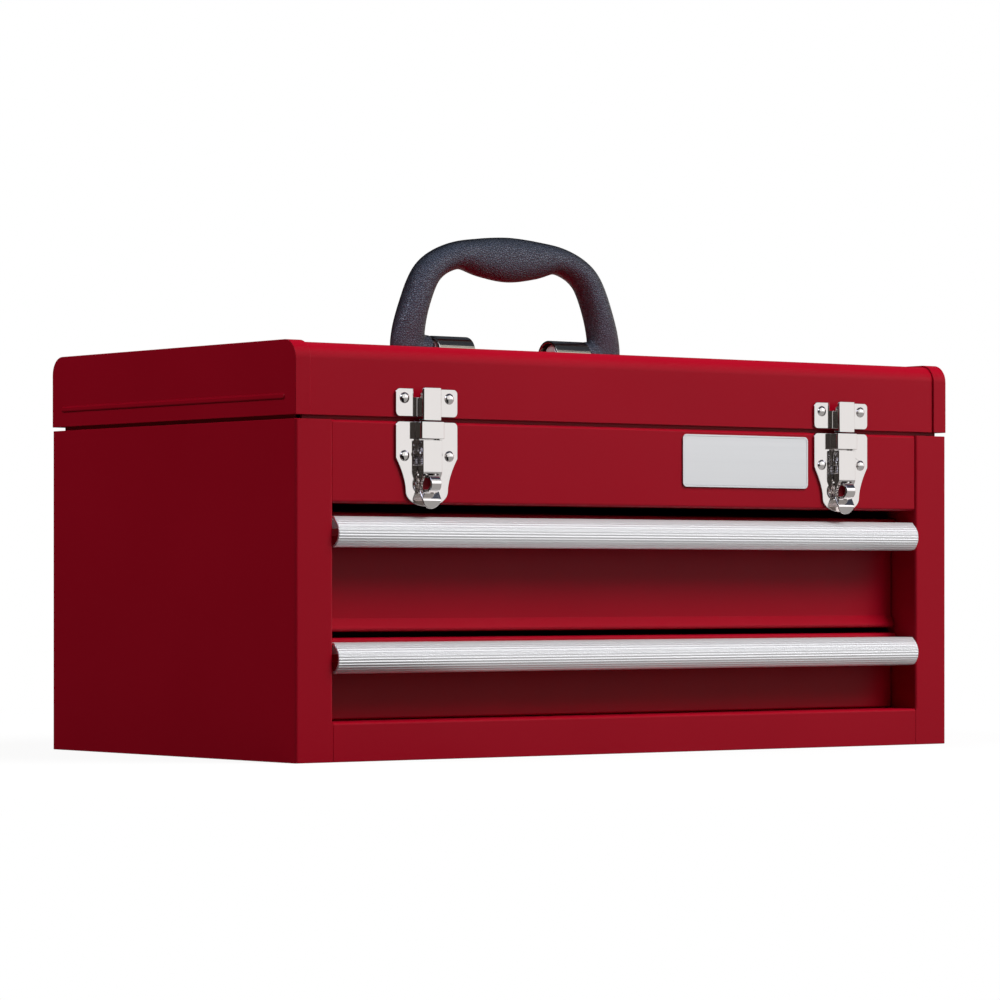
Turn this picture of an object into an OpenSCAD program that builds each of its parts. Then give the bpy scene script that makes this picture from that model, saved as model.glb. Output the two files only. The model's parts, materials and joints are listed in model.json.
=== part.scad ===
// Portable steel tool box: a hinged lid with a folding handle, a top compartment,
// two drawers with fluted aluminium pulls, and two toggle latches.
// Millimetres. +X is to the right, +Y to the back, +Z up.
// The origin is on the floor, under the middle of the case.

/* [Case] */
// Width of the case
box_w = 460; // [400:1:560]
// Depth of the case
box_d = 241.5; // [200:0.5:320]
// Height of the case up to the lid gap
body_h = 179.2; // [168:0.1:230]
// Gap between the case and the closed lid
lid_gap = 2.1; // [1.6:0.1:3]
// Height of the lid
lid_h = 39.4; // [34:0.1:70]
// Outer radius of the lid's long edges
lid_r = 10; // [6:0.5:14]
// Thickness of the sheet steel
sheet = 1; // [0.8:0.1:1.2]
// Outside radius of the folds in the sheet
fold_r = 1.6; // [1.3:0.1:2.4]

/* [Front] */
// Width of the columns beside the drawers
column_w = 23.8; // [18:0.1:34]
// Height of the rail under the drawers
rail_h = 20.9; // [16:0.1:32]
// Height of the rail above the drawers
top_rail_h = 43.6; // [38:0.1:60]
// Depth of the drawer fronts behind the columns
recess = 20; // [16:0.5:30]

/* [Drawers] */
// Height of the lower drawer's front
lower_front_h = 43.3; // [36:0.1:54]
// Gap between the two drawer fronts
drawer_gap = 3.3; // [2:0.1:6]
// Gap under the lower drawer's front
bottom_gap = 0.5; // [0.5:0.1:3]
// Gap above the upper drawer's front
top_gap = 4.6; // [2:0.1:8]
// Gap beside a drawer front
side_gap = 1.2; // [0.8:0.1:3]
// How far the lips of a drawer front stand forward
lip_out = 4.2; // [2:0.1:8]
// Length of a drawer's tray
tray_len = 205; // [150:1:208]
// Running gap between a tray's flange and its runner
runner_gap = 0.3; // [0.2:0.05:0.6]

/* [Pulls] */
// Height of a pull's curved shell
pull_h = 14.2; // [11:0.1:18]
// How far the shell bulges
pull_bulge = 3.7; // [3:0.1:6]
// How far the shell's edges stand in front of the case
pull_out = 0.2; // [0:0.1:4]
// Wall of the pull
pull_wall = 1.2; // [1:0.1:1.8]
// Distance from the top of a drawer front to the top of its pull
pull_drop = 2.3; // [1:0.1:5]

/* [Lid and hinge] */
// Width of the flange of a lid end cap
cap_flange = 9.5; // [6:0.5:16]
// Height of the pressed bead on a lid end cap
bead_h = 3; // [2:0.1:5]
// How far the bead stands out
bead_out = 0.6; // [0.3:0.1:1]
// How far the inner rim rises into the lid
upstand_h = 9; // [5:0.5:14]
// Gap between the inner rim and the lid
upstand_gap = 1.25; // [1:0.05:2.5]
// Radius of a hinge knuckle
knuckle_r = 2.5; // [2.2:0.1:3.5]
// Radius of the hinge pin
hinge_pin_r = 1; // [0.8:0.1:1.4]
// Height of a hinge leaf
leaf_h = 15; // [12:0.5:22]
// Distance from the end of the hinge to the side of the case
hinge_end = 16; // [13:0.5:40]

/* [Handle] */
// Outer width of the handle at its feet
handle_span = 163.2; // [140:0.1:200]
// Height of the handle's middle line above its pivot
handle_rise = 52.9; // [44:0.1:70]
// Half height of the grip in its middle
grip_half_h = 12.9; // [10:0.1:16]
// Half thickness of the grip from front to back
grip_half_t = 9.5; // [7:0.1:10]
// Height of the pivot above the lid
pivot_h = 6.3; // [6.2:0.05:6.4]
// Radius of the handle's pivot pins
pivot_pin_r = 5.5; // [4.5:0.1:5.6]
// Height of a bracket's arch above the lid
arch_h = 14; // [13.6:0.1:18]
// Outer radius of a bracket's arch
arch_r = 9.6; // [9:0.1:12]
// Wall of a bracket
arch_wall = 1.5; // [1:0.1:1.6]
// Length of a bracket along the handle
arch_len = 25; // [18:0.5:30]

/* [Latches and plate] */
// Distance from the middle of the left latch to the side of the case
left_latch_inset = 84.3; // [60:0.1:110]
// Distance from the middle of the right latch to the side of the case
right_latch_inset = 81.9; // [60:0.1:110]
// Width of the latch plates
latch_w = 40.5; // [36:0.1:50]
// Thickness of the latch plates
latch_t = 1.2; // [0.8:0.1:1.4]
// Height of the keeper plate
keeper_h = 15.4; // [14:0.1:22]
// Height of the straight part of the base plate
base_straight_h = 19.4; // [17:0.1:24]
// Width of the lever
lever_w = 12.4; // [10:0.1:14]
// How far the lever stands in front of the case
lever_out = 5.5; // [5.2:0.1:7]
// Radius of the small latch pins
latch_pin_r = 0.85; // [0.7:0.05:0.95]
// Width of the blank name plate
plate_w = 92.2; // [50:0.1:110]
// Height of the blank name plate
plate_h = 29.3; // [18:0.1:32]
// Gap between the name plate and the right latch
plate_gap = 4.5; // [1:0.1:20]
// Radius of a rivet's head
rivet_r = 3; // [2.4:0.1:3.6]
// Radius of a rivet's shank
shank_r = 1.5; // [1.2:0.1:2]

/* [Hidden] */
$fn = 48;

// Clearances
running = 0.05;
seat_gap = 0.3;

// Faces of the case
xr = box_w / 2;
yf = -box_d / 2;
yb = box_d / 2;
lid_z = body_h + lid_gap;
lid_top = lid_z + lid_h;
// The lid's wrap and the top rail lie one sheet behind the columns
face_y = yf + sheet;
wrap_top = lid_top - sheet;

// Drawer opening
open_x = xr - column_w;
open_top = body_h - top_rail_h;
column_return = recess + 4;
rail_return = recess + 6;
rail_lip = 6;
top_rail_return = 18;

// Inner rim and compartment
rim_inset = 2 * sheet + upstand_gap;
floor_z = open_top + sheet;
corner_relief = 5;
front_relief = 2.5;
relief_drop = 1.5;
back_flange = 12;
bottom_flange = 12;

// Drawer fronts, as [lowest, highest]
lower_front = [rail_h + bottom_gap, rail_h + bottom_gap + lower_front_h];
upper_front = [lower_front[1] + drawer_gap, open_top - top_gap];
front_x = open_x - side_gap;
lip_h = 6.9;
top_lip_h = 8.5;
top_lip_slope = 4;
lip_return = 8;
toe_r = 1.1;
top_return = 6;

// Trays and runners
tray_side = 9;
tray_x = front_x - tray_side;
tray_flange = 7.4;
tray_front_y = yf + recess + sheet;
tray_drop = 9;
runner_wall = 1.2;
runner_web_gap = 1.4;
runner_grip = 5.1;
runner_flange_h = 12;
runner_y0 = yf + column_return + 1;
runner_y1 = yb - 20;

// Pulls
pull_chamfer = 1.5;
pull_lip = 2.8;
screw_head_r = 2.4;
screw_drop = pull_wall + screw_head_r + 0.1;
pull_flange_h = screw_drop + screw_head_r + 0.1;
screw_head_h = 1.6;
screw_shank_r = 1.4;
screw_spread = 150;

// Hinge
hinge_y = yb - sheet + knuckle_r;
hinge_z = body_h + lid_gap / 2;
knuckles = 13;
knuckle_gap = 0.4;
leaf_gap = 2.4;
hinge_rivets = 7;
hinge_rivet_r = 2.2;
hinge_shank_r = 1.2;
hinge_rivet_z = leaf_gap + 7;

// Lid end cap bead, from the lid's lower edge
bead_z = 9.8;
bead_inset = 10;

// Handle
pivot_z = wrap_top + pivot_h;
foot_half = 11;
foot_x = handle_span / 2 - foot_half;
elbow_r = pivot_h - 0.4;
elbow_top = arch_h - pivot_h + 0.3;
elbow_in = 0.5;
elbow_len = 4.6;
arch_outer_x = foot_x - foot_half - elbow_len - elbow_in;
arch_inner_x = arch_outer_x - arch_len;
arch_foot = 9;
bearing_inset = 3;
pin_end = 3.6;
bearing_front = pin_end + 0.6;
pin_core_r = 3;
pin_core_len = 14;
arch_rivet_y = arch_r + arch_foot / 2;

// Latches, with depths measured forward from the columns' face
latch_corner = 2.5;
plate_out = latch_t - sheet;
hump_w = lever_w;
hump_out = lever_out;
hump_drop = 2.1;
hump_rise = 0.5;
hump_slope = 4.6;
hump_root_r = 0.5;
hump_notch = 2.6;
hump_bend_drop = 2.2;
hump_edge_r = 1.2;
keeper_z0 = lid_z + 0.6;
keeper_z1 = keeper_z0 + keeper_h - 0.6;
rivet_x = latch_w / 2 - 5.55;
keeper_rivet_z = keeper_z1 - 5;
base_rivet_z = body_h - 18.1;
head_h = 1.5;
tail_h = 0.9;
shield_w = latch_w - 12.6;
shield_round = 8;
base_h = 44.9;

lever_wall = 0.9;
ear_in = 0.3;
ear_t = 1.2;
ear_neck = 0.25;
lever_top = body_h - 9.8;
lever_pin = [lever_out - 2.6, lever_top - 1.9];
turn_r = lever_pin[0] - plate_out - seat_gap;
ear_r = lever_out - lever_wall - lever_pin[0] - 0.25;
claw_arm = 5.5;
claw_pin = [lever_pin[0], lever_pin[1] - claw_arm];
window_top = lever_top - 17.8;
window_bottom = lever_top - 28.2;
window_side = 2;
window_dip = 3.1;
tongue_z = lever_top - 36.4;
claw_gap = 0.7;
claw_side_gap = 0.15;
claw_wall = 0.7;
claw_out = lever_out - 0.2;
claw_x = lever_w / 2 + claw_side_gap + claw_wall;
claw_end_r = 1.5;
claw_arm_w = 1.2;
spring_wire = 0.7;
// The springs fill the depth between the lever's face and the plate's clearance
spring_front = lever_out - lever_wall - running;
spring_back = plate_out + seat_gap + 0.15;
spring_r = (spring_front - spring_back) / 2;
spring_x = lever_w / 2 - spring_r - running;
spring_z = [lever_top - 13.1, lever_pin[1] - 2.1];
pin_head_h = 0.4;
staple_w = 6.5;
staple_wall = 1.5;
staple_r = 4.6;
staple_out = lever_out + 3.5;
staple_z = lever_top - 23.1;

// Name plate
plate_t = 0.8;
plate_corner = 2.5;
plate_low = 11.7;

// ---------------------------------------------------------------- outlines

function unit(v) = v / norm(v);
function left_of(v) = [-v[1], v[0]];
function turned(v, w) = [v[0] * cos(w) - v[1] * sin(w), v[0] * sin(w) + v[1] * cos(w)];

// A list gives each fold its own radius
function fold_radius(r, i) = is_list(r) ? r[i - 1] : r;

// Points of one fold, on the path's own side (off = 0) or across the sheet (off = t)
function fold_points(p, i, r, t, n, off) =
    let (
        a = unit(p[i] - p[i - 1]),
        b = unit(p[i + 1] - p[i]),
        turn = atan2(cross(a, b), a * b),
        s = sign(turn),
        ra = s > 0 ? r : max(r - t, 0),
        c = p[i] + s * (left_of(a) + left_of(b)) * ra / (1 + a * b)
    )
    [for (k = [0:n]) let (m = turned(left_of(a), turn * k / n)) c + (off - s * ra) * m];

function fold_side(p, r, t, n, off) =
    let (
        last = len(p) - 1,
        a = left_of(unit(p[1] - p[0])),
        b = left_of(unit(p[last] - p[last - 1]))
    )
    concat(
        [p[0] + off * a],
        [for (i = [1:last - 1]) each fold_points(p, i, fold_radius(r, i), t, n, off)],
        [p[last] + off * b]
    );

function reversed(p) = [for (i = [len(p) - 1:-1:0]) p[i]];

// Section of a folded sheet: a path of its outer face, with the sheet on the path's left
module folded_sheet(path, r = fold_r, t = sheet, n = 4) {
    polygon(concat(fold_side(path, r, t, n, 0), reversed(fold_side(path, r, t, n, t))));
}

// Corner points of a rectangle with round corners, from its lowest to its highest corner
function round_rect(low, high, r, n = 6) =
    let (
        c = [
            [high[0] - r, high[1] - r], [low[0] + r, high[1] - r],
            [low[0] + r, low[1] + r], [high[0] - r, low[1] + r]
        ]
    )
    [for (q = [0:3]) for (k = [0:n]) c[q] + r * [cos(90 * (q + k / n)), sin(90 * (q + k / n))]];

// Extrudes a section given as (Y, Z) along X
module along_x(x0, x1) {
    translate([x0, 0, 0]) rotate([90, 0, 90]) linear_extrude(x1 - x0) children();
}

// Extrudes an outline given as (X, Z) from y0 back to y1
module along_y(y0, y1) {
    translate([0, y1, 0]) rotate([90, 0, 0]) linear_extrude(y1 - y0) children();
}

module mirrored(side) {
    mirror([side < 0 ? 1 : 0, 0, 0]) children();
}

// A rivet on +Z: its head stands on z = 0 and its shank goes down through the grip
module rivet(head, shank, grip, rise = head_h, tail = tail_h) {
    ball = (head * head + rise * rise) / (2 * rise);
    intersection() {
        translate([0, 0, rise - ball]) sphere(ball);
        cylinder(r = head, h = rise);
    }
    translate([0, 0, -grip - tail]) cylinder(r = shank, h = grip + tail + rise / 2);
    translate([0, 0, -grip - tail]) cylinder(r = shank + 0.7, h = tail);
}

// Places a rivet on a front face, pointing forward
module on_front(x, y, z) {
    translate([x, y, z]) rotate([90, 0, 0]) children();
}

// Places a rivet on a back face, pointing backward
module on_back(x, y, z) {
    translate([x, y, z]) rotate([-90, 0, 0]) children();
}

// ---------------------------------------------------------------- case

// Right side panel: side, front column with its return, rear flange and top hem
module side_panel() {
    column = [[back_flange - xr, yb], [-xr, yb], [-xr, yf], [-open_x, yf]];
    // Each step of the column, as [lowest, highest, depth of its return]
    steps = [[0, rail_h, 0], [rail_h, floor_z, column_return], [floor_z, body_h, rim_inset]];
    mirror([1, 0, 0]) for (s = steps) translate([0, 0, s[0]]) linear_extrude(s[1] - s[0])
        folded_sheet(s[2] > 0 ? concat(column, [[-open_x, yf + s[2]]]) : column);
    hem_y = [yf + front_relief, yb - corner_relief];
    translate([xr - rim_inset, hem_y[0], body_h - sheet])
        cube([rim_inset - sheet / 2, hem_y[1] - hem_y[0], sheet]);
}

module left_side_panel() { color("#8c0f1e") mirrored(-1) side_panel(); }

module right_side_panel() { color("#8c0f1e") side_panel(); }

module back_panel() {
    color("#8c0f1e") {
        outer = yb - sheet;
        difference() {
            along_x(fold_r - xr, xr - fold_r)
                folded_sheet([[outer, 0], [outer, body_h], [yb - rim_inset, body_h]]);
            for (x = hinge_rivet_xs())
                on_back(x, outer - 2 * sheet, hinge_z - hinge_rivet_z)
                    cylinder(r = hinge_shank_r + running, h = 3 * sheet);
            // The hem stays clear of the side panels' hems
            for (s = [-1, 1])
                translate([s * (xr - sheet) - corner_relief, yb - corner_relief - sheet, body_h - fold_r])
                    cube([2 * corner_relief, corner_relief - sheet, 2 * fold_r]);
        }
    }
}

module bottom_panel() {
    x = xr - sheet;
    color("#8c0f1e")
        translate([0, yb - sheet - fold_r, 0]) rotate([90, 0, 0])
            linear_extrude(box_d - 2 * sheet - 2 * fold_r)
                folded_sheet([[-x, bottom_flange], [-x, 0], [x, 0], [x, bottom_flange]]);
}

module front_bottom_rail() {
    color("#8c0f1e") along_x(-open_x, open_x)
        folded_sheet([
            [yf + rail_return, rail_h - rail_lip], [yf + rail_return, rail_h],
            [yf, rail_h], [yf, 0]
        ]);
}

module front_top_rail() {
    color("#8c0f1e") difference() {
        along_x(-open_x, open_x)
            folded_sheet([
                [yf + rim_inset, body_h], [face_y, body_h], [face_y, open_top],
                [face_y + top_rail_return, open_top]
            ], r = fold_r);
        for (s = [-1, 1]) for (d = [-1, 1])
            on_front(latch_x(s) + d * rivet_x, face_y + 2 * sheet, base_rivet_z)
                cylinder(r = shank_r + running, h = 3 * sheet);
    }
}

// Folded pan with open corners: the floor of the top compartment and its rim
module top_compartment() {
    x = xr - rim_inset;
    y = yb - rim_inset;
    z1 = body_h + upstand_h;
    color("#7a0c18") difference() {
        translate([-x, -y, floor_z]) cube([2 * x, 2 * y, z1 - floor_z]);
        translate([-x + sheet, -y + sheet, floor_z + sheet])
            cube([2 * (x - sheet), 2 * (y - sheet), z1]);
        for (s = [-1, 1]) for (c = [[-1, front_relief], [1, corner_relief]])
            translate([
                s * (x - c[1] / 2 + 1) - c[1] / 2 - 1,
                c[0] * (y - c[1] / 2 + 1) - c[1] / 2 - 1,
                body_h - relief_drop
            ]) cube([c[1] + 2, c[1] + 2, upstand_h + 2 * relief_drop]);
    }
}

// ---------------------------------------------------------------- drawers

function tray_top(front) = front[1] - tray_drop;

// Runner for one side: a channel that holds the tray's flange, on an angle welded to the side
module runner(front) {
    z = tray_top(front);
    web = tray_x + tray_flange + runner_web_gap;
    tip = web - runner_grip - runner_web_gap;
    low = z - sheet - runner_gap - runner_wall;
    translate([0, runner_y0, 0]) {
        len = runner_y1 - runner_y0;
        translate([tip, 0, low]) cube([xr - sheet - tip, len, runner_wall]);
        translate([tip, 0, z + runner_gap]) cube([web - tip + runner_wall, len, runner_wall]);
        translate([web, 0, low]) cube([runner_wall, len, z + runner_gap - low + runner_wall]);
        translate([xr - sheet - runner_wall, 0, low - runner_flange_h])
            cube([runner_wall, len, runner_flange_h + runner_wall]);
    }
}

module left_upper_runner() { color("#5c5f63") mirrored(-1) runner(upper_front); }

module right_upper_runner() { color("#5c5f63") runner(upper_front); }

module left_lower_runner() { color("#5c5f63") mirrored(-1) runner(lower_front); }

module right_lower_runner() { color("#5c5f63") runner(lower_front); }

module tray(front) {
    z0 = front[0] + fold_r;
    z1 = tray_top(front);
    translate([0, tray_front_y, 0]) {
        difference() {
            translate([-tray_x, 0, z0]) cube([2 * tray_x, tray_len, z1 - z0]);
            translate([-tray_x + sheet, sheet, z0 + sheet])
                cube([2 * (tray_x - sheet), tray_len - 2 * sheet, z1 - z0]);
        }
        for (s = [-1, 1])
            translate([s * (tray_x + tray_flange / 2 - sheet / 4), tray_len / 2, z1 - sheet / 2])
                cube([tray_flange + sheet / 2, tray_len, sheet], center = true);
    }
}

module upper_drawer_tray() { color("#7a0c18") tray(upper_front); }

module lower_drawer_tray() { color("#7a0c18") tray(lower_front); }

// Front panel. Its top edge, and on the upper drawer its lower edge, folds forward as a lip.
module drawer_front(front, lower_lip) {
    y = yf + recess;
    lip = y - lip_out;
    z0 = front[0];
    z1 = front[1];
    upper = [
        [lip + top_return, z1], [lip, z1], [lip, z1 - top_lip_h],
        [y, z1 - top_lip_h - top_lip_slope]
    ];
    lower = lower_lip
        ? [[y, z0 + lip_h], [lip, z0], [lip + lip_return, z0]]
        : [[y, z0], [y + sheet + 2, z0]];
    difference() {
        along_x(-front_x, front_x) folded_sheet(
            concat(upper, lower),
            r = concat([fold_r, fold_r, fold_r], lower_lip ? [fold_r, fold_r] : [toe_r])
        );
        for (x = [-screw_spread, 0, screw_spread])
            on_front(x, lip + 2 * sheet, z1 - pull_drop - screw_drop)
                cylinder(r = screw_shank_r + running, h = 3 * sheet);
    }
}

module upper_drawer_front() { color("#8c0f1e") drawer_front(upper_front, true); }

module lower_drawer_front() { color("#8c0f1e") drawer_front(lower_front, false); }

// Section of a pull: a curved shell, a web back to the drawer front and a flange on it
module pull_section(top) {
    edge = yf - pull_out;
    back = yf + recess - lip_out;
    z1 = top - pull_chamfer;
    z0 = z1 - pull_h;
    shell_r = (pull_h * pull_h / 4 + pull_bulge * pull_bulge) / (2 * pull_bulge);
    half = asin(pull_h / 2 / shell_r);
    cy = edge - pull_bulge + shell_r;
    cz = (z0 + z1) / 2;
    steps = 10;
    outer = [for (k = [0:steps]) let (w = half - 2 * half * k / steps)
        [cy - shell_r * cos(w), cz + shell_r * sin(w)]];
    inner = [for (k = [0:steps]) let (w = -half + 2 * half * k / steps)
        [cy - (shell_r - pull_wall) * cos(w), cz + (shell_r - pull_wall) * sin(w)]];
    in_low = inner[0];
    polygon(concat(
        [[back, top], [edge + pull_chamfer, top]],
        outer,
        [[edge + pull_lip, z0 - pull_wall / 2], [edge + pull_lip, z0 + pull_wall / 2]],
        inner,
        [
            [edge + pull_chamfer + pull_wall / 2, top - pull_wall],
            [back - pull_wall, top - pull_wall],
            [back - pull_wall, top - pull_flange_h], [back, top - pull_flange_h]
        ]
    ));
}

module pull(front) {
    top = front[1] - pull_drop;
    difference() {
        along_x(-front_x, front_x) pull_section(top);
        for (x = [-screw_spread, 0, screw_spread])
            on_front(x, yf + recess, top - screw_drop)
                cylinder(r = screw_shank_r + running, h = lip_out + 3 * pull_wall);
    }
}

module upper_drawer_pull() { color("#d6d8da") pull(upper_front); }

module lower_drawer_pull() { color("#d6d8da") pull(lower_front); }

module pull_screws(front) {
    face = yf + recess - lip_out - pull_wall;
    for (x = [-screw_spread, 0, screw_spread])
        on_front(x, face, front[1] - pull_drop - screw_drop) rivet(
            screw_head_r, screw_shank_r, sheet + pull_wall, rise = screw_head_h, tail = 1.2
        );
}

module upper_pull_screws() { color("#9a9da0") pull_screws(upper_front); }

module lower_pull_screws() { color("#9a9da0") pull_screws(lower_front); }

// ---------------------------------------------------------------- lid

// Outline of the lid in (Y, Z) at a distance inside its outer faces
module lid_outline(inset) {
    r = lid_r - inset;
    y = yb - inset;
    z = lid_top - inset;
    n = 10;
    polygon(concat(
        [for (k = [0:n]) [y - r + r * cos(90 * k / n), z - r + r * sin(90 * k / n)]],
        [for (k = [0:n]) [-y + r - r * sin(90 * k / n), z - r + r * cos(90 * k / n)]],
        [[-y, lid_z], [y, lid_z]]
    ));
}

// Front, top and back of the lid in one sheet
module lid_shell() {
    color("#8c0f1e") difference() {
        along_x(-xr + sheet, xr - sheet) lid_outline(sheet);
        along_x(-xr, xr) translate([0, -sheet]) lid_outline_inner();
        for (s = [-1, 1]) {
            for (d = [-1, 1]) {
                on_front(latch_x(s) + d * rivet_x, face_y + 2 * sheet, keeper_rivet_z)
                    cylinder(r = shank_r + running, h = 3 * sheet);
                translate([s * arch_mid_x(), d * arch_rivet_y, wrap_top - 2 * sheet])
                    cylinder(r = shank_r + running, h = 3 * sheet);
            }
        }
        for (x = hinge_rivet_xs())
            on_back(x, yb - 3 * sheet, hinge_z + hinge_rivet_z)
                cylinder(r = hinge_shank_r + running, h = 3 * sheet);
    }
}

// Inner face of the wrap, carried one sheet past its lower edge so that the cut runs through
module lid_outline_inner() {
    r = lid_r - 2 * sheet;
    y = yb - 2 * sheet;
    z = lid_top - sheet;
    n = 10;
    polygon(concat(
        [for (k = [0:n]) [y - r + r * cos(90 * k / n), z - r + r * sin(90 * k / n)]],
        [for (k = [0:n]) [-y + r - r * sin(90 * k / n), z - r + r * cos(90 * k / n)]],
        [[-y, lid_z - sheet], [y, lid_z - sheet]]
    ));
}

// Right end cap: a side with a pressed bead and a flange that wraps over the sheet
module lid_cap() {
    difference() {
        along_x(xr - cap_flange, xr) lid_outline(0);
        along_x(xr - cap_flange - 1, xr - sheet)
            union() {
                lid_outline(sheet);
                translate([yf + sheet, lid_z - 1]) square([box_d - 2 * sheet, 2]);
            }
    }
    bead_y = [yf + bead_inset, yb - bead_inset];
    z = lid_z + bead_z;
    translate([xr - sheet / 2, 0, 0]) rotate([90, 0, 90])
        linear_extrude(sheet / 2 + bead_out)
            polygon(round_rect([bead_y[0], z - bead_h / 2], [bead_y[1], z + bead_h / 2], bead_h / 2));
}

module lid_left_cap() { color("#8c0f1e") mirrored(-1) lid_cap(); }

module lid_right_cap() { color("#8c0f1e") lid_cap(); }

// ---------------------------------------------------------------- hinge

function hinge_len() = 2 * (xr - hinge_end);
function hinge_rivet_xs() =
    [for (k = [0:hinge_rivets - 1]) (k / (hinge_rivets - 1) - 0.5) * (hinge_len() - 30)];

// One leaf: side = -1 for the case, 1 for the lid. Its knuckles take every second place.
module hinge_leaf(side) {
    pitch = hinge_len() / knuckles;
    first = side < 0 ? 0 : 1;
    outer = yb - sheet;
    z_near = hinge_z + side * leaf_gap;
    z_far = z_near + side * (leaf_h - leaf_gap);
    difference() {
        union() {
            translate([-hinge_len() / 2, outer, min(z_near, z_far)])
                cube([hinge_len(), sheet, leaf_h - leaf_gap]);
            for (k = [first:2:knuckles - 1]) {
                x0 = -hinge_len() / 2 + k * pitch + knuckle_gap / 2;
                translate([x0, hinge_y, hinge_z]) rotate([0, 90, 0])
                    cylinder(r = knuckle_r, h = pitch - knuckle_gap);
                translate([x0, outer, min(hinge_z, z_near)])
                    cube([pitch - knuckle_gap, sheet, leaf_gap]);
            }
        }
        translate([-hinge_len() / 2 - 1, hinge_y, hinge_z]) rotate([0, 90, 0])
            cylinder(r = hinge_pin_r + running, h = hinge_len() + 2);
        for (x = hinge_rivet_xs())
            on_back(x, outer - 1, hinge_z + side * hinge_rivet_z)
                cylinder(r = hinge_shank_r + running, h = sheet + 2);
    }
}

module hinge_body_leaf() { color("#6e0c17") hinge_leaf(-1); }

module hinge_lid_leaf() { color("#6e0c17") hinge_leaf(1); }

module hinge_pin() {
    color("#a8abad") translate([-hinge_len() / 2, hinge_y, hinge_z]) rotate([0, 90, 0])
        cylinder(r = hinge_pin_r, h = hinge_len());
}

module hinge_rivet_row(side) {
    for (x = hinge_rivet_xs())
        on_back(x, yb, hinge_z + side * hinge_rivet_z)
            rivet(hinge_rivet_r, hinge_shank_r, 2 * sheet, rise = 1, tail = 0.8);
}

module hinge_body_rivets() { color("#8c0f1e") hinge_rivet_row(-1); }

module hinge_lid_rivets() { color("#8c0f1e") hinge_rivet_row(1); }

// ---------------------------------------------------------------- handle

function arch_mid_x() = arch_inner_x + arch_len / 2;

// Solid inside an arch: straight sides up to the arch's centre, round above
module arch_solid(r, x0, len, drop = 0) {
    z = wrap_top + arch_h - arch_r;
    intersection() {
        translate([x0, 0, z]) rotate([0, 90, 0]) cylinder(r = r, h = len, $fn = 96);
        translate([x0, -r, z]) cube([len, 2 * r, 2 * r]);
    }
    translate([x0, -r, wrap_top - drop]) cube([len, 2 * r, z - wrap_top + drop]);
}

// Right bracket: an arch over the pivot pin, with two feet
module handle_bracket() {
    difference() {
        union() {
            arch_solid(arch_r, arch_inner_x, arch_len);
            translate([arch_inner_x, -arch_r - arch_foot, wrap_top])
                cube([arch_len, 2 * (arch_r + arch_foot), arch_wall]);
        }
        arch_solid(arch_r - arch_wall, arch_inner_x - 1, arch_len + 2, drop = 1);
        for (s = [-1, 1])
            translate([arch_mid_x(), s * arch_rivet_y, wrap_top - 1])
                cylinder(r = shank_r + running, h = arch_wall + 2);
    }
}

module left_handle_bracket() { color("#5a5d60") mirrored(-1) handle_bracket(); }

module right_handle_bracket() { color("#5a5d60") handle_bracket(); }

// Bearing block that fills the arch round the pivot pin
module handle_bearing() {
    x0 = arch_inner_x + bearing_front;
    block = arch_len - bearing_front - bearing_inset;
    difference() {
        arch_solid(arch_r - arch_wall - running, x0, block);
        translate([x0 - 1, 0, pivot_z]) rotate([0, 90, 0])
            cylinder(r = pivot_pin_r + running, h = block + 2);
    }
}

module left_handle_bearing() { color("#202226") mirrored(-1) handle_bearing(); }

module right_handle_bearing() { color("#202226") handle_bearing(); }

module bracket_rivets() {
    color("#b9bbbd") for (s = [-1, 1]) for (d = [-1, 1])
        translate([s * arch_mid_x(), d * arch_rivet_y, wrap_top + arch_wall])
            rivet(rivet_r - 0.2, shank_r, sheet + arch_wall);
}

// Middle line of the grip from its centre to a foot: [x, height over the pivot, half width
// in the handle's plane, half thickness from front to back]
grip_line = [
    [0, handle_rise, grip_half_h, grip_half_t],
    [foot_x * 0.26, handle_rise + 0.6, grip_half_h - 1.7, grip_half_t],
    [foot_x * 0.48, handle_rise + 1.4, 8.2, grip_half_t - 0.3],
    [foot_x * 0.66, handle_rise - 2.3, 7.7, grip_half_t - 0.5],
    [foot_x * 0.79, handle_rise - 8.5, 8, grip_half_t - 0.8],
    [foot_x * 0.87, handle_rise - 16.9, 8.3, grip_half_t - 0.9],
    [foot_x * 0.942, handle_rise * 0.44, 8.7, grip_half_t - 1.1],
    [foot_x * 0.986, handle_rise * 0.23, 9.9, elbow_r + 1.5],
    [foot_x, 4, foot_half, elbow_r + 0.4],
    [foot_x, 0, foot_half - 0.1, elbow_r - 0.15]
];

// Smooth curve through four neighbouring stations
function smooth(a, b, c, d, t) =
    0.5 * (2 * b + (c - a) * t + (2 * a - 5 * b + 4 * c - d) * t * t
        + (3 * b - a - 3 * c + d) * t * t * t);
function flipped(p) = [-p[0], p[1], p[2], p[3]];

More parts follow.
